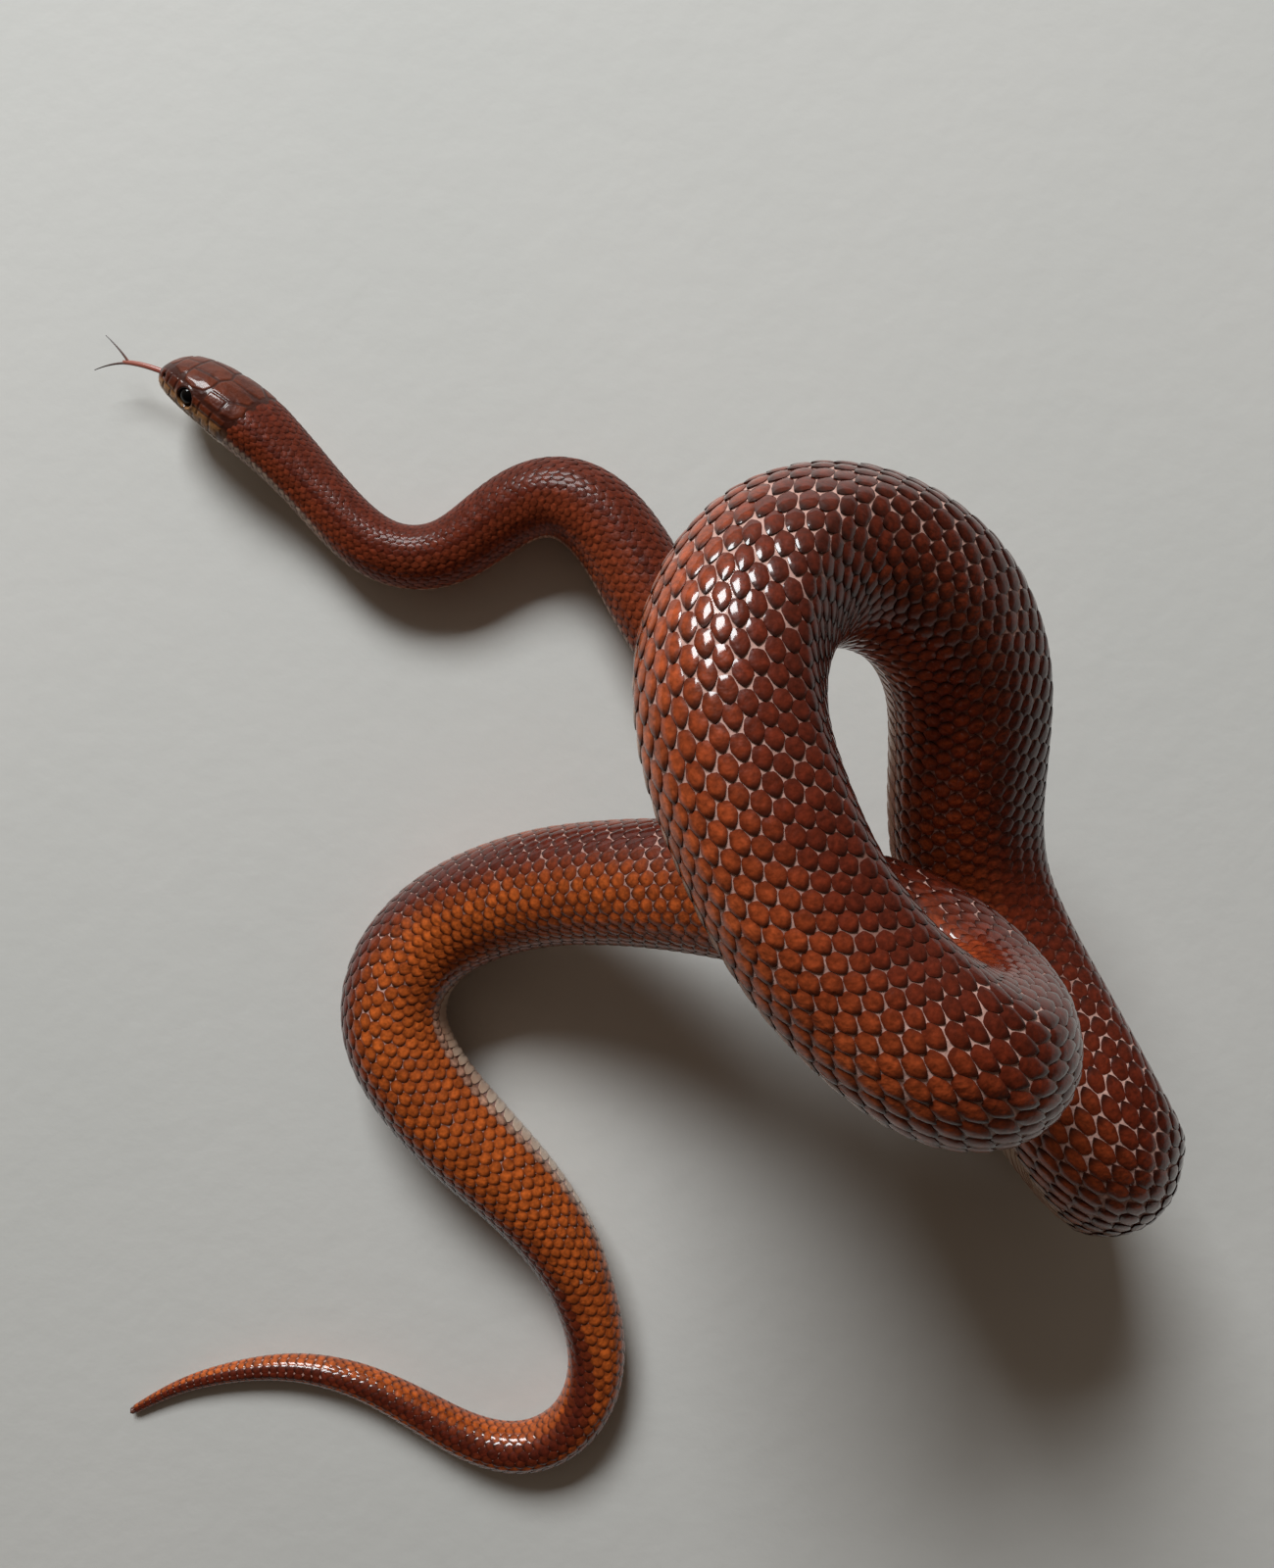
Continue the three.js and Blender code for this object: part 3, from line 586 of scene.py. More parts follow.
flesh = [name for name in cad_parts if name.startswith(("body_", "tail_", "neck", "head_", "lower_"))]
skinPiece = buildSkin()
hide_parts(*flesh)
print("skin built")

# Scales: one low domed plate each, widest near its middle and narrowed toward the root and the tip,
# whose rim runs down into the skin. The outline gives places along the plate and half widths
# there, and the rings are fractions of the outline.
plateShape = {
    "outline": ((0.03, 0.52), (0.12, 0.73), (0.4, 1.0), (0.54, 1.0), (0.8, 0.62), (0.93, 0.28)),
    "rings": (1.0, 0.82, 0.5),
    "widest": 0.46,
    "topPast": 0.05,  # the top of the dome lies this far past the widest place
    "sink": 0.45,
}
scuteShape = {"rim": 22, "frontPower": 2.4, "rearPower": 3.5}


# Outline of a plate from its root (0, 0) round by the right side to the tip (1, 0) and back.
def plateOutline():
    side = np.array(plateShape["outline"])
    along = np.concatenate([[0], side[:, 0], [1], side[::-1, 0]])
    across = np.concatenate([[0], side[:, 1], [0], -side[::-1, 1]])
    return along, across


def scuteOutline():
    turn = np.linspace(0, 2 * math.pi, scuteShape["rim"], endpoint=False)
    along = 0.5 - 0.5 * np.cos(turn)
    widest, power = plateShape["widest"], scuteShape["frontPower"]
    front = np.clip(1 - np.abs(1 - along / widest) ** power, 0, 1) ** (1 / power)
    rear = 1 - np.clip((along - widest) / (1 - widest), 0, 1) ** scuteShape["rearPower"]
    across = np.where(along < widest, front, rear) * np.where(turn > math.pi, -1, 1)
    across[0] = 0
    return along, across


# One plate's points along (u) and across (v) with their rings, its skirt and foot, and its faces.
def plateTemplate(outline):
    along, across = outline
    rim = len(along)
    centre = plateShape["widest"] + plateShape["topPast"]
    u, v, ring = [], [], []
    for fraction in plateShape["rings"]:
        u.append(centre + (along - centre) * fraction)
        v.append(across * fraction)
        ring.append(np.full(rim, fraction))
    u.append([centre])
    v.append([0])
    ring.append([0])
    for level in (1, 2):
        u.append(along)
        v.append(across)
        ring.append(np.full(rim, level))
    u, v, ring = (np.concatenate(values) for values in (u, v, ring))
    inner = len(plateShape["rings"])
    top = inner * rim
    wall = top + 1
    corners, totals = [], []
    for k in range(rim):
        m = (k + 1) % rim
        for r in range(inner - 1):
            corners += [r * rim + k, r * rim + m, (r + 1) * rim + m, (r + 1) * rim + k]
            totals.append(4)
        corners += [(inner - 1) * rim + k, (inner - 1) * rim + m, top]
        totals.append(3)
        corners += [wall + k, wall + rim + k, wall + rim + m, wall + m]
        totals.append(4)
    return {
        "u": u,
        "v": v,
        "ring": ring,
        "isSkirt": np.arange(len(u)) > top,
        "isFoot": np.arange(len(u)) > top + rim,
        "corners": np.array(corners),
        "totals": np.array(totals),
    }


# Lengthwise spacing of the scales, how far each reaches over the next, its width against its share
# of the row and the height of its dome, by place along the body.
spacing = {
    "at": (0, 22, 60, 130, 190, 260, 330, 520, 600, 650, 750, 800, 860, 910),
    "pitch": (1.4, 1.5, 1.8, 2.1, 2.5, 3.0, 3.4, 3.4, 3.2, 3.0, 2.6, 2.3, 1.8, 1.1),
    "reach": (1.16, 1.16, 1.14, 1.12, 1.08, 1.03, 0.99, 0.99, 0.99, 1.02, 1.08, 1.12, 1.14, 1.15),
    "wide": (1.32, 1.32, 1.3, 1.28, 1.25, 1.22, 1.2, 1.2, 1.2, 1.22, 1.26, 1.3, 1.32, 1.32),
    "dome": (0.13, 0.13, 0.13, 0.14, 0.15, 0.17, 0.18, 0.18, 0.18, 0.17, 0.16, 0.16, 0.16, 0.16),
}
plateFit = {
    "stretch": (0.42, 1.8),
    "slide": (0.85, 1.7),  # on the outside of a bend the skin slides out from under the plates
    "riseCurve": 1.5,
    "liftOver": 4,  # lifts and domes are given for a plate of this length
    "seat": 0.75,
    "fromSnout": 0.5,
    "fromTail": 0.02,
    "patch": 0.0015,  # half size of a plate's patch in the bake map
}
bellyHalf = math.radians(47)
zones = {  # first and last place along the body, and rows of scales over back and flanks
    "front": (20.0, 225, 25),
    "coils": (225, 560, 27),
    "rear": (560, 752, 23),
    "tail": (752, 845, 13),
    "tip": (845, 905, 8),
}
scales = {
    "crownEnd": 19.9,
    "crownBulge": 1.5,  # the shields reach further back on top of the head
    "tailRoom": 1.4,
    "wander": 0.03,
    "spread": 0.02,
    "pieces": 7,
    "lifts": (0.02, 0.2, 1.0),  # at the root and at the tip, and the share of the dome
}


def spacingAt(s, key):
    return np.interp(s, spacing["at"], spacing[key])


def marchAlong(start, end):
    places, s = [], start
    while s < end:
        places.append(s)
        s += float(spacingAt(s, "pitch"))
    return np.array(places)


def scaleSites():
    found = []
    for start, end, rows in zones.values():
        marks = marchAlong(start, end)
        middles = marks + spacingAt(marks, "pitch") / 2
        dorsal = 2 * (math.pi - bellyHalf) / rows
        for row in range(rows):
            offset = row - (rows - 1) / 2
            s = marks if round(offset) % 2 == 0 else middles
            angle = np.full(len(s), offset * dorsal)
            found.append(np.column_stack([s, angle, np.full(len(s), dorsal)]))
    sites = np.vstack(found)
    crownEnd = scales["crownEnd"] + scales["crownBulge"] * np.clip(np.cos(sites[:, 1]), 0, 1)
    sites = sites[(sites[:, 0] >= crownEnd) & (sites[:, 0] + scales["tailRoom"] <= bodyLength)]
    sites = sites[np.argsort(sites[:, 0], kind="stable")]
    sites[:, 0] += rng.normal(0, scales["wander"], len(sites)) * spacingAt(sites[:, 0], "pitch")
    return sites


def plateMap(shape, *channels):
    return np.stack([np.broadcast_to(channel, shape) for channel in channels], axis=-1).reshape(-1, 4)


def buildPlates(name, s0, angle0, length, width, template, lifts, spareTone):
    u, v, corners = template["u"], template["v"], template["corners"]
    count = len(s0)
    half = np.interp(s0, body["along"], body["half"])
    down, stretch = markings(s0, angle0)
    stretch = np.clip(stretch, *plateFit["stretch"])
    length = length * np.clip(stretch, *plateFit["slide"])
    s = s0[:, None] + u[None, :] * (length / stretch)[:, None]
    angle = angle0[:, None] + v[None, :] * (width / 2 / half)[:, None]
    rootLift, tipLift, domeShare = lifts
    dome = spacingAt(s0, "dome")[:, None] * domeShare
    level = np.minimum(template["ring"], 1)[None, :]
    rim = rootLift + (tipLift - rootLift) * np.clip(u, 0, 1)[None, :] ** plateFit["riseCurve"]
    lift = (rim + dome * (1 - level**3)) * (length / plateFit["liftOver"])[:, None]
    lift = np.where(template["isFoot"][None, :], -plateShape["sink"], lift)
    s = np.clip(s, plateFit["fromSnout"], bodyLength - plateFit["fromTail"])
    points = skinPoints(s.ravel(), angle.ravel(), lift.ravel() - skin["depth"] * plateFit["seat"])
    allCorners = (np.arange(count)[:, None] * len(u) + corners[None, :]).ravel()
    piece = makeMesh(name, points, allCorners, np.tile(template["totals"], count))
    tone = rng.random(count)
    # The second channel is the ring level and is full on the skirt walls. The material darkens by it as
    # painted shade on the rims and walls.
    addColours(piece, "scaleMap", plateMap(
        s.shape, down[:, None], np.where(template["isSkirt"], 1.0, level),
        np.clip(u, 0, 1)[None, :], tone[:, None],
    ))
    # The third channel holds a tone that no material reads now.
    addColours(piece, "bodyMap", plateMap(
        s.shape, np.clip(stretch / 2, 0, 1)[:, None], (s0 / bodyLength)[:, None],
        spareTone[:, None], 1.0,
    ))
    root = unwrapPoint(s0, (angle0 / (2 * math.pi)) % 1, stripOf(s0))
    local = np.stack([np.clip(u, 0, 1) * 2 - 1, v], axis=-1)[corners] * plateFit["patch"]
    addBakeMap(piece, (root[:, None, :] + local[None, :, :]).reshape(-1, 2))
    return piece


def buildScales():
    template = plateTemplate(plateOutline())
    sites = scaleSites()
    pieces = []
    for k, chunk in enumerate(np.array_split(sites, scales["pieces"])):
        s0, angle0, dorsal = chunk.T
        half = np.interp(s0, body["along"], body["half"])
        length = spacingAt(s0, "pitch") * spacingAt(s0, "reach")
        width = dorsal * half * spacingAt(s0, "wide")
        length *= 1 + rng.normal(0, scales["spread"], len(s0))
        width *= 1 + rng.normal(0, scales["spread"], len(s0))
        tone = rng.random(len(s0))
        name = "scales_%d" % (k + 1)
        pieces.append(buildPlates(name, s0, angle0, length, width, template, scales["lifts"], tone))
    print("scales", len(sites), "triangles each", int(np.sum(template["totals"] - 2)))
    return pieces


scalePieces = buildScales()

# Belly scutes: one broad plate across the belly at each place, and paired ones under the tail.
scute = {
    "from": 21.5,
    "tailRoom": 4,
    "pairedFrom": stretchStart["tail"] - 4,
    "single": (1.18, 1.04),  # length against the pitch, and width against its share of the belly
    "paired": (1.2, 1.05),
    "lifts": (0.02, 0.22, 0.4),
}


def buildScutes():
    rows = []
    for s in marchAlong(scute["from"], bodyLength - scute["tailRoom"]):
        half = float(np.interp(s, body["along"], body["half"]))
        pitch = float(spacingAt(s, "pitch"))
        if s < scute["pairedFrom"]:
            long, wide = scute["single"]
            rows.append((s, math.pi, pitch * long, 2 * bellyHalf * half * wide))
        else:
            long, wide = scute["paired"]
            for side in (-1, 1):
                rows.append((s, math.pi + side * bellyHalf / 2, pitch * long, bellyHalf * half * wide))
    s0, angle0, length, width = np.array(rows).T
    template = plateTemplate(scuteOutline())
    tone = rng.random(len(s0))
    return buildPlates("belly_scutes", s0, angle0, length, width, template, scute["lifts"], tone)


scutes = buildScutes()
print("scutes built")


# Materials: helpers that add and join shader nodes.
def newMaterial(name):
    material = bpy.data.materials.new(name)
    material.use_nodes = True
    return material, material.node_tree, material.node_tree.nodes["Principled BSDF"]


def setFinish(shader, finish):
    for socketName, value in finish.items():
        shader.inputs[socketName].default_value = value


def addRamp(tree, factor, stops):
    node = tree.nodes.new("ShaderNodeValToRGB")
    elements = node.color_ramp.elements
    while len(elements) > 1:
        elements.remove(elements[-1])
    for k, (place, colour) in enumerate(stops):
        element = elements[0] if k == 0 else elements.new(place)
        element.position = place
        element.color = (*colour, 1)
    tree.links.new(factor, node.inputs["Fac"])
    return node.outputs["Color"]


def addMix(tree, factor, a, b):
    node = tree.nodes.new("ShaderNodeMix")
    node.data_type = "RGBA"
    for place, value in ((0, factor), (6, a), (7, b)):  # factor, A and B of the colour mix
        if isinstance(value, tuple):
            node.inputs[place].default_value = (*value, 1)
        else:
            tree.links.new(value, node.inputs[place])
    return node.outputs[2]


def addMath(tree, operation, a, b=0.0):
    node = tree.nodes.new("ShaderNodeMath")
    node.operation = operation
    for entry, value in zip(node.inputs, (a, b)):
        if isinstance(value, float):
            entry.default_value = value
        else:
            tree.links.new(value, entry)
    return node.outputs[0]


def readMap(tree, name):
    source = tree.nodes.new("ShaderNodeAttribute")
    source.attribute_name = name
    split = tree.nodes.new("ShaderNodeSeparateColor")
    tree.links.new(source.outputs["Color"], split.inputs[0])
    return split.outputs[0], split.outputs[1], split.outputs[2], source.outputs["Alpha"]


def mapRange(tree, value, low, high, toLow=0.0, toHigh=1.0):
    node = tree.nodes.new("ShaderNodeMapRange")
    tree.links.new(value, node.inputs["Value"])
    for key, number in (("From Min", low), ("From Max", high), ("To Min", toLow), ("To Max", toHigh)):
        node.inputs[key].default_value = number
    return node.outputs["Result"]


def addNoise(tree, scale, detail):
    node = tree.nodes.new("ShaderNodeTexNoise")
    node.inputs["Scale"].default_value = scale
    node.inputs["Detail"].default_value = detail
    coords = tree.nodes.new("ShaderNodeTexCoord")
    tree.links.new(coords.outputs["Object"], node.inputs["Vector"])
    return node.outputs["Fac"]


def addBump(tree, shader, height, strength, distance):
    node = tree.nodes.new("ShaderNodeBump")
    node.inputs["Strength"].default_value = strength
    node.inputs["Distance"].default_value = distance
    tree.links.new(height, node.inputs["Height"])
    tree.links.new(node.outputs["Normal"], shader.inputs["Normal"])


# Colours of the animal, and of the painted shade at the scale tips and the head's recesses, in linear
# light.
tones = {
    "ridge": (0.066, 0.009, 0.004),
    "back": (0.12, 0.016, 0.0055),
    "flank": (0.34, 0.06, 0.015),
    "lowFlank": (0.38, 0.085, 0.023),
    "orange": (0.5, 0.105, 0.015),
    "frontFlank": (0.155, 0.03, 0.012),
    "belly": (0.5, 0.36, 0.27),
    "skin": (0.55, 0.33, 0.28),
    "skinDark": (0.12, 0.04, 0.026),
    "skinFront": (0.11, 0.022, 0.009),
    # tip: near-black painted shade at the rear tip of each scale
    "tip": (0.012, 0.003, 0.002),
    "scute": (0.62, 0.47, 0.36),
    "scuteCloud": (0.45, 0.24, 0.15),
    "scuteEdge": (0.2, 0.09, 0.05),
    "crown": (0.12, 0.022, 0.007),
    "crownSeam": (0.045, 0.01, 0.005),
    "crownCloud": (0.04, 0.007, 0.004),
    "cheek": (0.3, 0.14, 0.05),
    "cheekSeam": (0.12, 0.05, 0.022),
    "chin": (0.62, 0.5, 0.4),
    # near-black painted shade for the mouth crease, nostrils and eye sockets
    "recessShade": (0.02, 0.008, 0.006),
}
# Places of the colours from the middle of the back (0) down to the middle of the belly (1).
flankStops = ((0.0, "ridge"), (0.21, "back"), (0.45, "flank"), (0.66, "lowFlank"), (0.73, "belly"))
# Where each marking, and the painted shade on the scale rims and tips, starts and ends in its map, and how
# strong it is there.
pattern = {
    "rear": (0.62, 0.72, 0.0, 0.8),
    "offBack": (0.1, 0.27),
    "offBelly": (0.62, 0.72, 1.0, 0.0),
    "front": (0.19, 0.25, 0.75, 0.0),
    "frontTop": (0.1, 0.42, 0.75, 0.0),
    "stripe": (0.02, 0.05, 0.9, 0.0),
    "cloud": (0.4, 0.7, 0.0, 0.35),
    "blotch": (0.35, 0.65, 0.72, 1.3),
    "plateTone": (0, 1, 0.84, 1.18),
    "contrast": (0.08, 0.3, 0.45, 1.0),
    "rimTintAndShade": (0.5, 1.0, 0.0, 0.6),
    "tipShade": (0.62, 0.95, 0.0, 0.85),
    "coat": (0.12, 0.34, 0.2, 1.0),
}
stripeAt = 0.24
grain = {"cloud": (60.0, 2.0), "blotch": (1100.0, 3.0), "fine": (620.0, 2.0)}


def scaleColour(tree, down, tone, along):
    colour = addRamp(tree, down, [(place, tones[name]) for place, name in flankStops])
    toRear = mapRange(tree, along, *pattern["rear"])
    onFlank = mapRange(tree, down, *pattern["offBack"])
    notBelly = mapRange(tree, down, *pattern["offBelly"])
    warm = addMath(tree, "MULTIPLY", addMath(tree, "MULTIPLY", toRear, onFlank), notBelly)
    colour = addMix(tree, warm, colour, tones["orange"])
    front = mapRange(tree, along, *pattern["front"])  # the front quarter is redder and plainer
    colour = addMix(tree, addMath(tree, "MULTIPLY", front, notBelly), colour, tones["frontFlank"])
    onTop = mapRange(tree, down, *pattern["frontTop"])
    colour = addMix(tree, addMath(tree, "MULTIPLY", front, onTop), colour, tones["ridge"])
    # One faint dark line runs along each side of the neck.
    fromStripe = addMath(tree, "ABSOLUTE", addMath(tree, "SUBTRACT", down, stripeAt))
    stripe = mapRange(tree, fromStripe, *pattern["stripe"])
    colour = addMix(tree, addMath(tree, "MULTIPLY", front, stripe), colour, tones["ridge"])
    cloud = mapRange(tree, addNoise(tree, *grain["cloud"]), *pattern["cloud"])
    colour = addMix(tree, cloud, colour, tones["back"])
    blotch = mapRange(tree, addNoise(tree, *grain["blotch"]), *pattern["blotch"])
    bright = addMath(tree, "MULTIPLY", mapRange(tree, tone, *pattern["plateTone"]), blotch)
    node = tree.nodes.new("ShaderNodeHueSaturation")
    tree.links.new(bright, node.inputs["Value"])
    tree.links.new(colour, node.inputs["Color"])
    return node.outputs["Color"]


scaleFinish = {
    "Roughness": 0.42,
    "Specular IOR Level": 0.12,
    "Coat Roughness": 0.1,
    "Coat IOR": 1.42,
    "IOR": 1.42,
}
scaleBump = {"strength": 0.6, "distance": 0.0005}


def scaleMaterial():
    material, tree, shader = newMaterial("corn_scale")
    down, level, toTip, tone = readMap(tree, "scaleMap")
    along = readMap(tree, "bodyMap")[1]
    colour = scaleColour(tree, down, tone, along)
    contrast = mapRange(tree, along, *pattern["contrast"])
    # Darker toward the rim: partly the scales' own darker edge colour, partly painted shade on the rims and
    # the skirt walls.
    rimTintAndShade = addMath(tree, "MULTIPLY", mapRange(tree, level, *pattern["rimTintAndShade"]), contrast)
    colour = addMix(tree, rimTintAndShade, colour, tones["ridge"])
    # Painted shade: the rear tip of each scale turns near black, where its raised edge would throw a
    # shadow.
    tipShade = addMath(tree, "MULTIPLY", mapRange(tree, toTip, *pattern["tipShade"]), contrast)
    colour = addMix(tree, tipShade, colour, tones["tip"])
    tree.links.new(colour, shader.inputs["Base Color"])
    tree.links.new(mapRange(tree, along, *pattern["coat"]), shader.inputs["Coat Weight"])
    setFinish(shader, scaleFinish)
    addBump(tree, shader, addNoise(tree, *grain["fine"]), **scaleBump)
    return material


scuteFinish = {"Roughness": 0.35, "Coat Weight": 0.3, "Coat Roughness": 0.15}
scuteLook = {"cloudGrain": (90.0, 3.0), "cloud": (0.4, 0.7), "edge": (0.75, 1.0, 0.0, 0.4)}


def scuteMaterial():
    material, tree, shader = newMaterial("corn_scute")
    toTip = readMap(tree, "scaleMap")[2]
    cloud = mapRange(tree, addNoise(tree, *scuteLook["cloudGrain"]), *scuteLook["cloud"])
    cream = addMix(tree, cloud, tones["scute"], tones["scuteCloud"])
    edge = mapRange(tree, toTip, *scuteLook["edge"])
    tree.links.new(addMix(tree, edge, cream, tones["scuteEdge"]), shader.inputs["Base Color"])
    setFinish(shader, scuteFinish)
    return material


skinFinish = {
    "Roughness": 0.45,
    "Specular IOR Level": 0.12,
    "Coat Weight": 0.5,
    "Coat Roughness": 0.08,
    "Coat IOR": 1.42,
}
skinBump = {"strength": 0.7, "distance": 0.0007}
skinLook = {
    "net": (0.4, 0.56),
    "front": (0.08, 0.26, 0.8, 0.0),
    "cloudGrain": (260.0, 3.0),
    "cloud": (0.42, 0.66, 0.0, 0.7),
    "cheek": (0.44, 0.62),
    "headEnd": (22.0, 25.0),
    "fineGrain": (420.0, 3.0),
}


def skinMaterial():
    material, tree, shader = newMaterial("corn_skin")
    down, plate, under, dark = readMap(tree, "headMap")
    stretch, along = readMap(tree, "bodyMap")[:2]
    net = addMix(tree, mapRange(tree, stretch, *skinLook["net"]), tones["skinDark"], tones["skin"])
    net = addMix(tree, mapRange(tree, along, *skinLook["front"]), net, tones["skinFront"])
    head = addMix(tree, plate, tones["crownSeam"], tones["crown"])
    cloud = mapRange(tree, addNoise(tree, *skinLook["cloudGrain"]), *skinLook["cloud"])
    head = addMix(tree, cloud, head, tones["crownCloud"])
    cheek = addMix(tree, plate, tones["cheekSeam"], tones["cheek"])
    head = addMix(tree, mapRange(tree, down, *skinLook["cheek"]), head, cheek)
    head = addMix(tree, under, head, tones["chin"])
    # Painted shade: the mouth crease, nostrils and eye sockets turn near black.
    head = addMix(tree, dark, head, tones["recessShade"])
    start, end = (place / bodyLength for place in skinLook["headEnd"])
    onHead = mapRange(tree, along, start, end, 1.0, 0.0)
    tree.links.new(addMix(tree, onHead, net, head), shader.inputs["Base Color"])
    setFinish(shader, skinFinish)
    addBump(tree, shader, addNoise(tree, *skinLook["fineGrain"]), **skinBump)
    return material


plateMaterial = scaleMaterial()
for piece in scalePieces:
    piece.data.materials.append(plateMaterial)
skinPiece.data.materials.append(skinMaterial())
scutes.data.materials.append(scuteMaterial())

# Eyes: a dark ball with a narrow iris about a round pupil.
eyeStops = (
    (0.0, (0.002, 0.002, 0.002)),
    (0.6, (0.003, 0.002, 0.002)),
    (0.68, (0.05, 0.018, 0.008)),
    (0.86, (0.07, 0.025, 0.01)),
    (0.96, (0.006, 0.004, 0.003)),
)
eyeFinish = {
    "Roughness": 0.3,
    "Specular IOR Level": 0.0,
    "Coat Weight": 1.0,
    "Coat Roughness": 0.02,
    "Coat IOR": 1.3,
}


# A material whose colour runs through the stops by a value that the piece carries.
def bandedMaterial(name, valueName, stops, finish):
    material, tree, shader = newMaterial(name)
    source = tree.nodes.new("ShaderNodeAttribute")
    source.attribute_name = valueName
    tree.links.new(addRamp(tree, source.outputs["Fac"], stops), shader.inputs["Base Color"])
    setFinish(shader, finish)
    return material


def addValues(piece, name, values):
    layer = piece.data.attributes.new(name, "FLOAT", "POINT")
    layer.data.foreach_set("value", np.asarray(values, np.float32).ravel())


eyeLook = bandedMaterial("snake_eye", "pupil", eyeStops, eyeFinish)


def buildEye(name, side):
    rows, sides = eye["rows"], eye["sides"]
    outward = headPoint(0, side, eye["lookUp"]) - headPoint(0, 0, 0)
    outward /= np.linalg.norm(outward)
    ahead = headPoint(-1, 0, 0) - headPoint(0, 0, 0)
    ahead -= outward * (ahead @ outward)
    ahead /= np.linalg.norm(ahead)
    third = np.cross(outward, ahead)
    centre = headPoint(eye["back"], side * eye["out"], eye["up"])
    turn = np.linspace(0, math.pi, rows)
    spin = np.linspace(0, 2 * math.pi, sides, endpoint=False)
    t, p = np.meshgrid(turn, spin, indexing="ij")
    ball = (
        np.cos(t)[..., None] * outward
        + (np.sin(t) * np.cos(p))[..., None] * ahead
        + (np.sin(t) * np.sin(p))[..., None] * third
    ) * eye["radius"]
    points = (centre + ball).reshape(-1, 3)
    quads = ringQuads(rows, sides, 0)[2]
    piece = makeMesh(name, points, quads.ravel(), np.full(len(quads), 4))
    addValues(piece, "pupil", np.clip(t / (math.pi / 2) * eye["irisReach"], 0, 1))
    piece.data.materials.append(eyeLook)
    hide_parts(name)
    piece.name = name + "_ball"


for name, side in (("eye_left", -1), ("eye_right", 1)):
    buildEye(name, side)

# Tongue: a flat moist stem that forks into two fine dark tines.
tongue = {
    "root": (2.6, 0.1),  # place back from the snout, and height over the mouth
    "lip": (-0.3, 0.1),
    "arch": (0.1, 0.5, 0.5),
    "fork": (-109.0, 89.5, 6.4),
    "heel": 0.14,
    "tips": ((-112.5, 95.0, 6.9), (-115.3, 88.0, 6.0)),
    "bow": ((0.6, 0.1, 0.4), (0.3, 0.9, 0.2)),
    "stem": (0.6, 0.36),
    "stemTaper": 0.25,
    "tine": 0.3,
    "tineTaper": 0.72,
    "stemShade": 0.25,
    "places": 24,
    "sides": 14,
}
tongueStops = (
    (0.0, (0.3, 0.06, 0.04)),
    (0.22, (0.34, 0.11, 0.08)),
    (0.42, (0.12, 0.06, 0.05)),
    (1.0, (0.04, 0.03, 0.03)),
)


def bent(start, middle, end, t):
    return (1 - t) ** 2 * start + 2 * t * (1 - t) * middle + t**2 * end


def sweep(path, wide, high):
    run = normalised(np.gradient(path, axis=0))
    across = normalised(np.cross(np.array([0, 0, 1.0]), run))
    up = np.cross(run, across)
    turn = np.linspace(0, 2 * math.pi, tongue["sides"], endpoint=False)
    ringPoints = (
        path[:, None, :]
        + up[:, None, :] * (np.cos(turn)[None, :] * high[:, None])[..., None]
        + across[:, None, :] * (np.sin(turn)[None, :] * wide[:, None])[..., None]
    )
    return ringPoints.reshape(-1, 3)


# The lines of the tongue: path, half width, half height and shade at each place.
def tongueLines():
    rootBack, lipBack = tongue["root"][0], tongue["lip"][0]
    root = headPoint(rootBack, 0, mouthAt(rootBack) + tongue["root"][1])
    lip = headPoint(lipBack, 0, mouthAt(0) + tongue["lip"][1])
    fork = np.array(tongue["fork"])
    t = np.linspace(0, 1, tongue["places"])[:, None]
    stem = bent(root, (lip + fork) / 2 + np.array(tongue["arch"]), fork, t)
    wide = np.full(len(t), tongue["stem"][0]) * (1 - tongue["stemTaper"] * t[:, 0] ** 3)
    high = np.full(len(t), tongue["stem"][1])
    lines = [(stem, wide, high, tongue["stemShade"] * t[:, 0])]
    heel = fork + (lip - fork) * tongue["heel"]
    for tip, bow in zip(tongue["tips"], tongue["bow"]):
        end = np.array(tip)
        tine = bent(heel, (heel + end) / 2 + np.array(bow), end, t)
        thick = tongue["tine"] * (1 - tongue["tineTaper"] * t[:, 0])
        shade = tongue["stemShade"] + (1 - tongue["stemShade"]) * t[:, 0]
        lines.append((tine, thick, thick, shade))
    return lines


def buildTongue():
    allPoints, corners, totals, tone = [], [], [], []
    sides, offset = tongue["sides"], 0
    for line, wide, high, shade in tongueLines():
        quads = ringQuads(len(line), sides, offset)[2][:, (0, 3, 2, 1)]
        allPoints.append(sweep(line, wide, high))
        corners += list(quads.ravel())
        totals += [4] * len(quads)
        firstCap = offset + np.arange(sides)
        lastCap = firstCap + (len(line) - 1) * sides
        corners += list(firstCap[::-1]) + list(lastCap)
        totals += [sides, sides]
        tone += list(np.repeat(shade, sides))
        offset += len(line) * sides
    piece = makeMesh("tongue_flesh", np.vstack(allPoints), corners, totals)
    addValues(piece, "shade", tone)
    piece.data.materials.append(bandedMaterial("tongue", "shade", tongueStops, {"Roughness": 0.3}))
    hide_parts("tongue")


buildTongue()
print("head pieces built")

# Floor, light and camera, which looks straight down as the photo does at the wall.
room = {
    "camera": (0.0, 0.0, 256.0),
    "lens": 27.0,
    "sensor": 36,
    "clip": (0.01, 20),
    "floor": 6.0,
    "floorDrop": 0.0002,
    "plaster": ((0.56, 0.56, 0.54), (0.6, 0.59, 0.57)),
    "plasterGrain": (6.0, 4.0),
    "plasterCloud": (0.3, 0.7),
    "plasterFine": (140.0, 6.0),
    "plasterBump": (0.25, 0.0006),
    "plasterRoughness": 0.85,
    "sun": (-0.3, 0.95, 0.78),
    "windowSize": (0.66, 0.46),
    "windowEnergy": 26,
    "windowColour": (0.95, 0.99, 1.0),
    "windowAway": 1.5,
    "bright": (-0.15, 1.0, 0.12),
    "ambient": 0.9,
}
skyStops = (
    (0.0, (0.03, 0.021, 0.015)),
    (0.5, (0.075, 0.055, 0.04)),
    (0.75, (0.16, 0.125, 0.095)),
    (1.0, (0.42, 0.36, 0.3)),
)


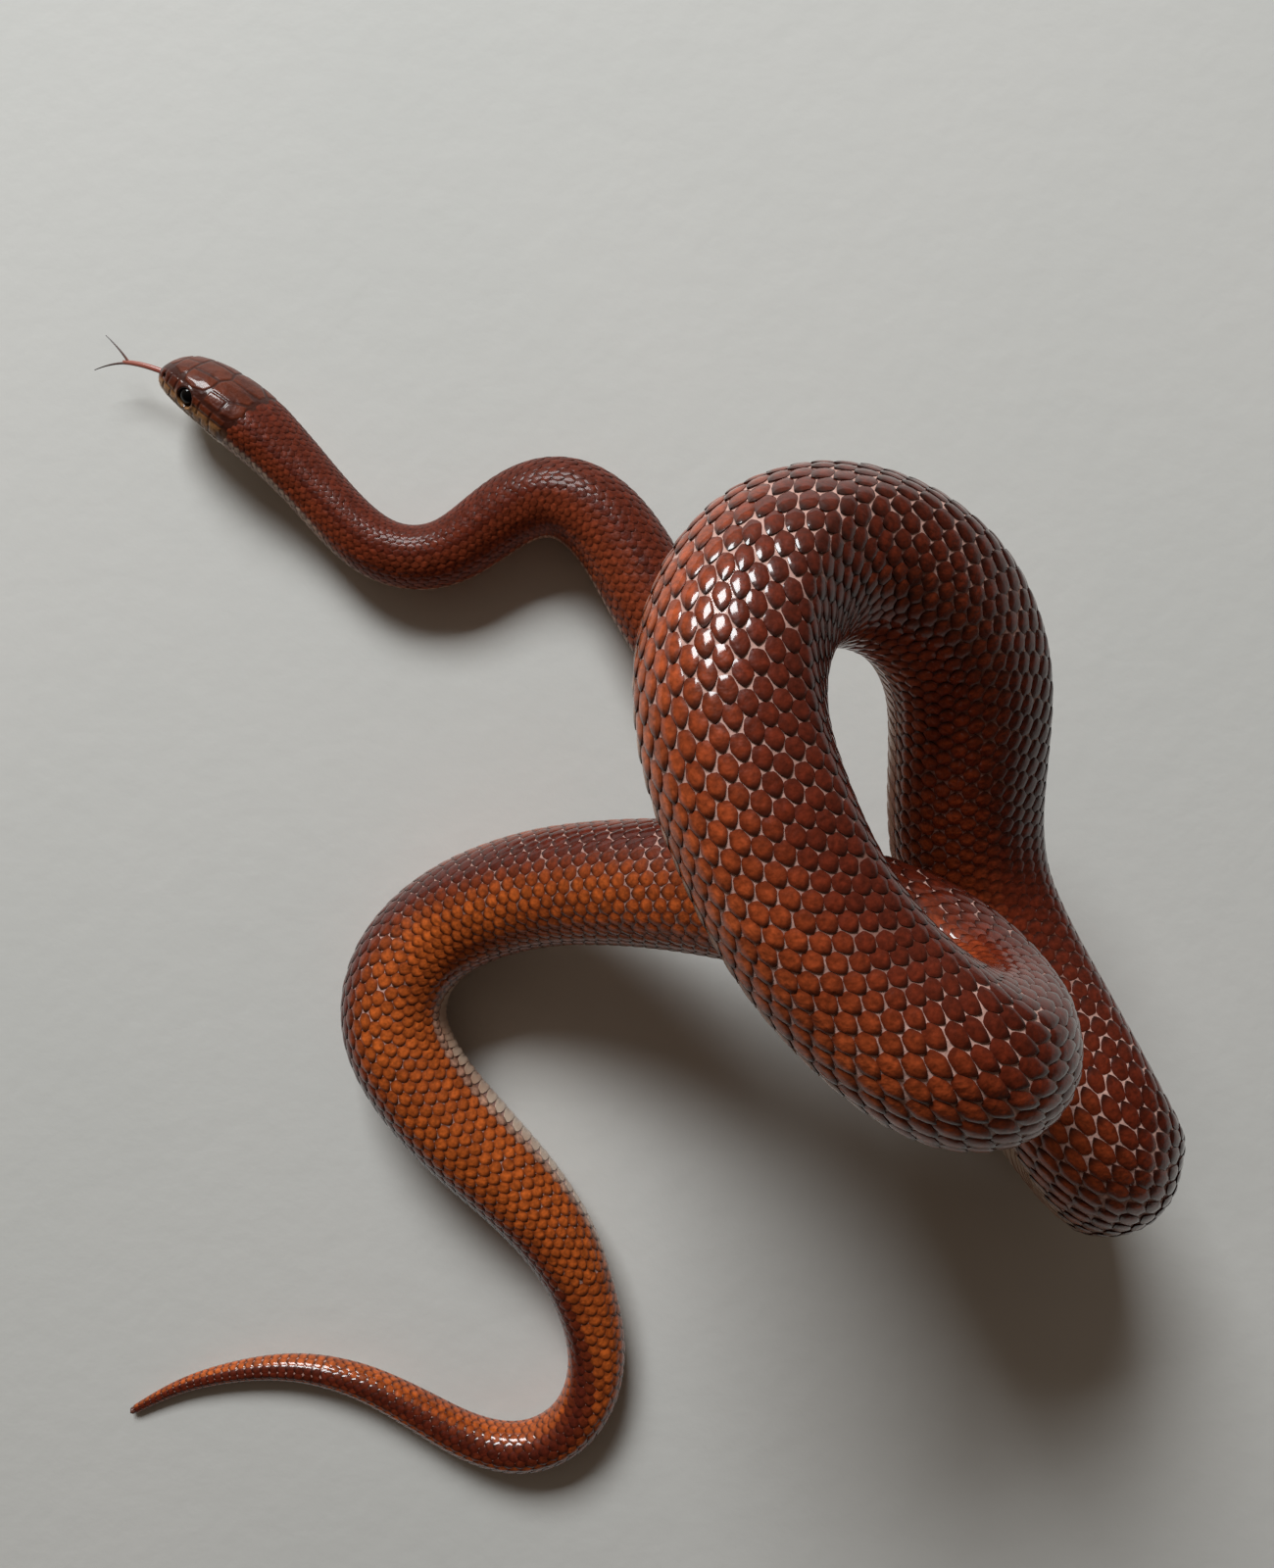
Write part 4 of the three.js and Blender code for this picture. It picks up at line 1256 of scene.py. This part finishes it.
def buildFloor():
    size = room["floor"]
    mesh = bpy.data.meshes.new("floor")
    edge = [(-size, -size, 0), (size, -size, 0), (size, size, 0), (-size, size, 0)]
    mesh.from_pydata(edge, [], [(0, 1, 2, 3)])
    floor = bpy.data.objects.new("floor", mesh)
    bpy.context.scene.collection.objects.link(floor)
    floor.location = (0, 0, -room["floorDrop"])
    material, tree, shader = newMaterial("plaster")
    cloud = mapRange(tree, addNoise(tree, *room["plasterGrain"]), *room["plasterCloud"])
    tree.links.new(addMix(tree, cloud, *room["plaster"]), shader.inputs["Base Color"])
    setFinish(shader, {"Roughness": room["plasterRoughness"]})
    addBump(tree, shader, addNoise(tree, *room["plasterFine"]), *room["plasterBump"])
    mesh.materials.append(material)


# The room's own light comes mostly from the side of the window.
def buildWorld():
    world = bpy.data.worlds.new("room")
    bpy.context.scene.world = world
    world.use_nodes = True
    sky = world.node_tree
    coords = sky.nodes.new("ShaderNodeTexCoord")
    facing = sky.nodes.new("ShaderNodeVectorMath")
    facing.operation = "DOT_PRODUCT"
    facing.inputs[1].default_value = Vector(room["bright"]).normalized()
    sky.links.new(coords.outputs["Generated"], facing.inputs[0])
    glow = addRamp(sky, mapRange(sky, facing.outputs["Value"], -1, 1), skyStops)
    sky.links.new(glow, sky.nodes["Background"].inputs["Color"])
    sky.nodes["Background"].inputs["Strength"].default_value = room["ambient"]


def buildWindow():
    toward = Vector(room["sun"]).normalized()
    window = bpy.data.lights.new("window", "AREA")
    window.shape = "RECTANGLE"
    window.size, window.size_y = room["windowSize"]
    window.energy = room["windowEnergy"]
    window.color = room["windowColour"]
    lamp = bpy.data.objects.new("window", window)
    bpy.context.scene.collection.objects.link(lamp)
    lamp.location = Vector(shift) + toward * room["windowAway"]
    lamp.rotation_mode = "QUATERNION"
    lamp.rotation_quaternion = (-toward).to_track_quat("-Z", "Y")


def buildCamera():
    camera = bpy.data.cameras.new("camera")
    camera.lens = room["lens"]
    camera.sensor_width = room["sensor"]
    camera.clip_start, camera.clip_end = room["clip"]
    view = bpy.data.objects.new("camera", camera)
    bpy.context.scene.collection.objects.link(view)
    view.location = toFrame(room["camera"])
    bpy.context.scene.camera = view
    bpy.context.scene.view_settings.view_transform = "Standard"


buildFloor()
buildWorld()
buildWindow()
buildCamera()
print("room built")
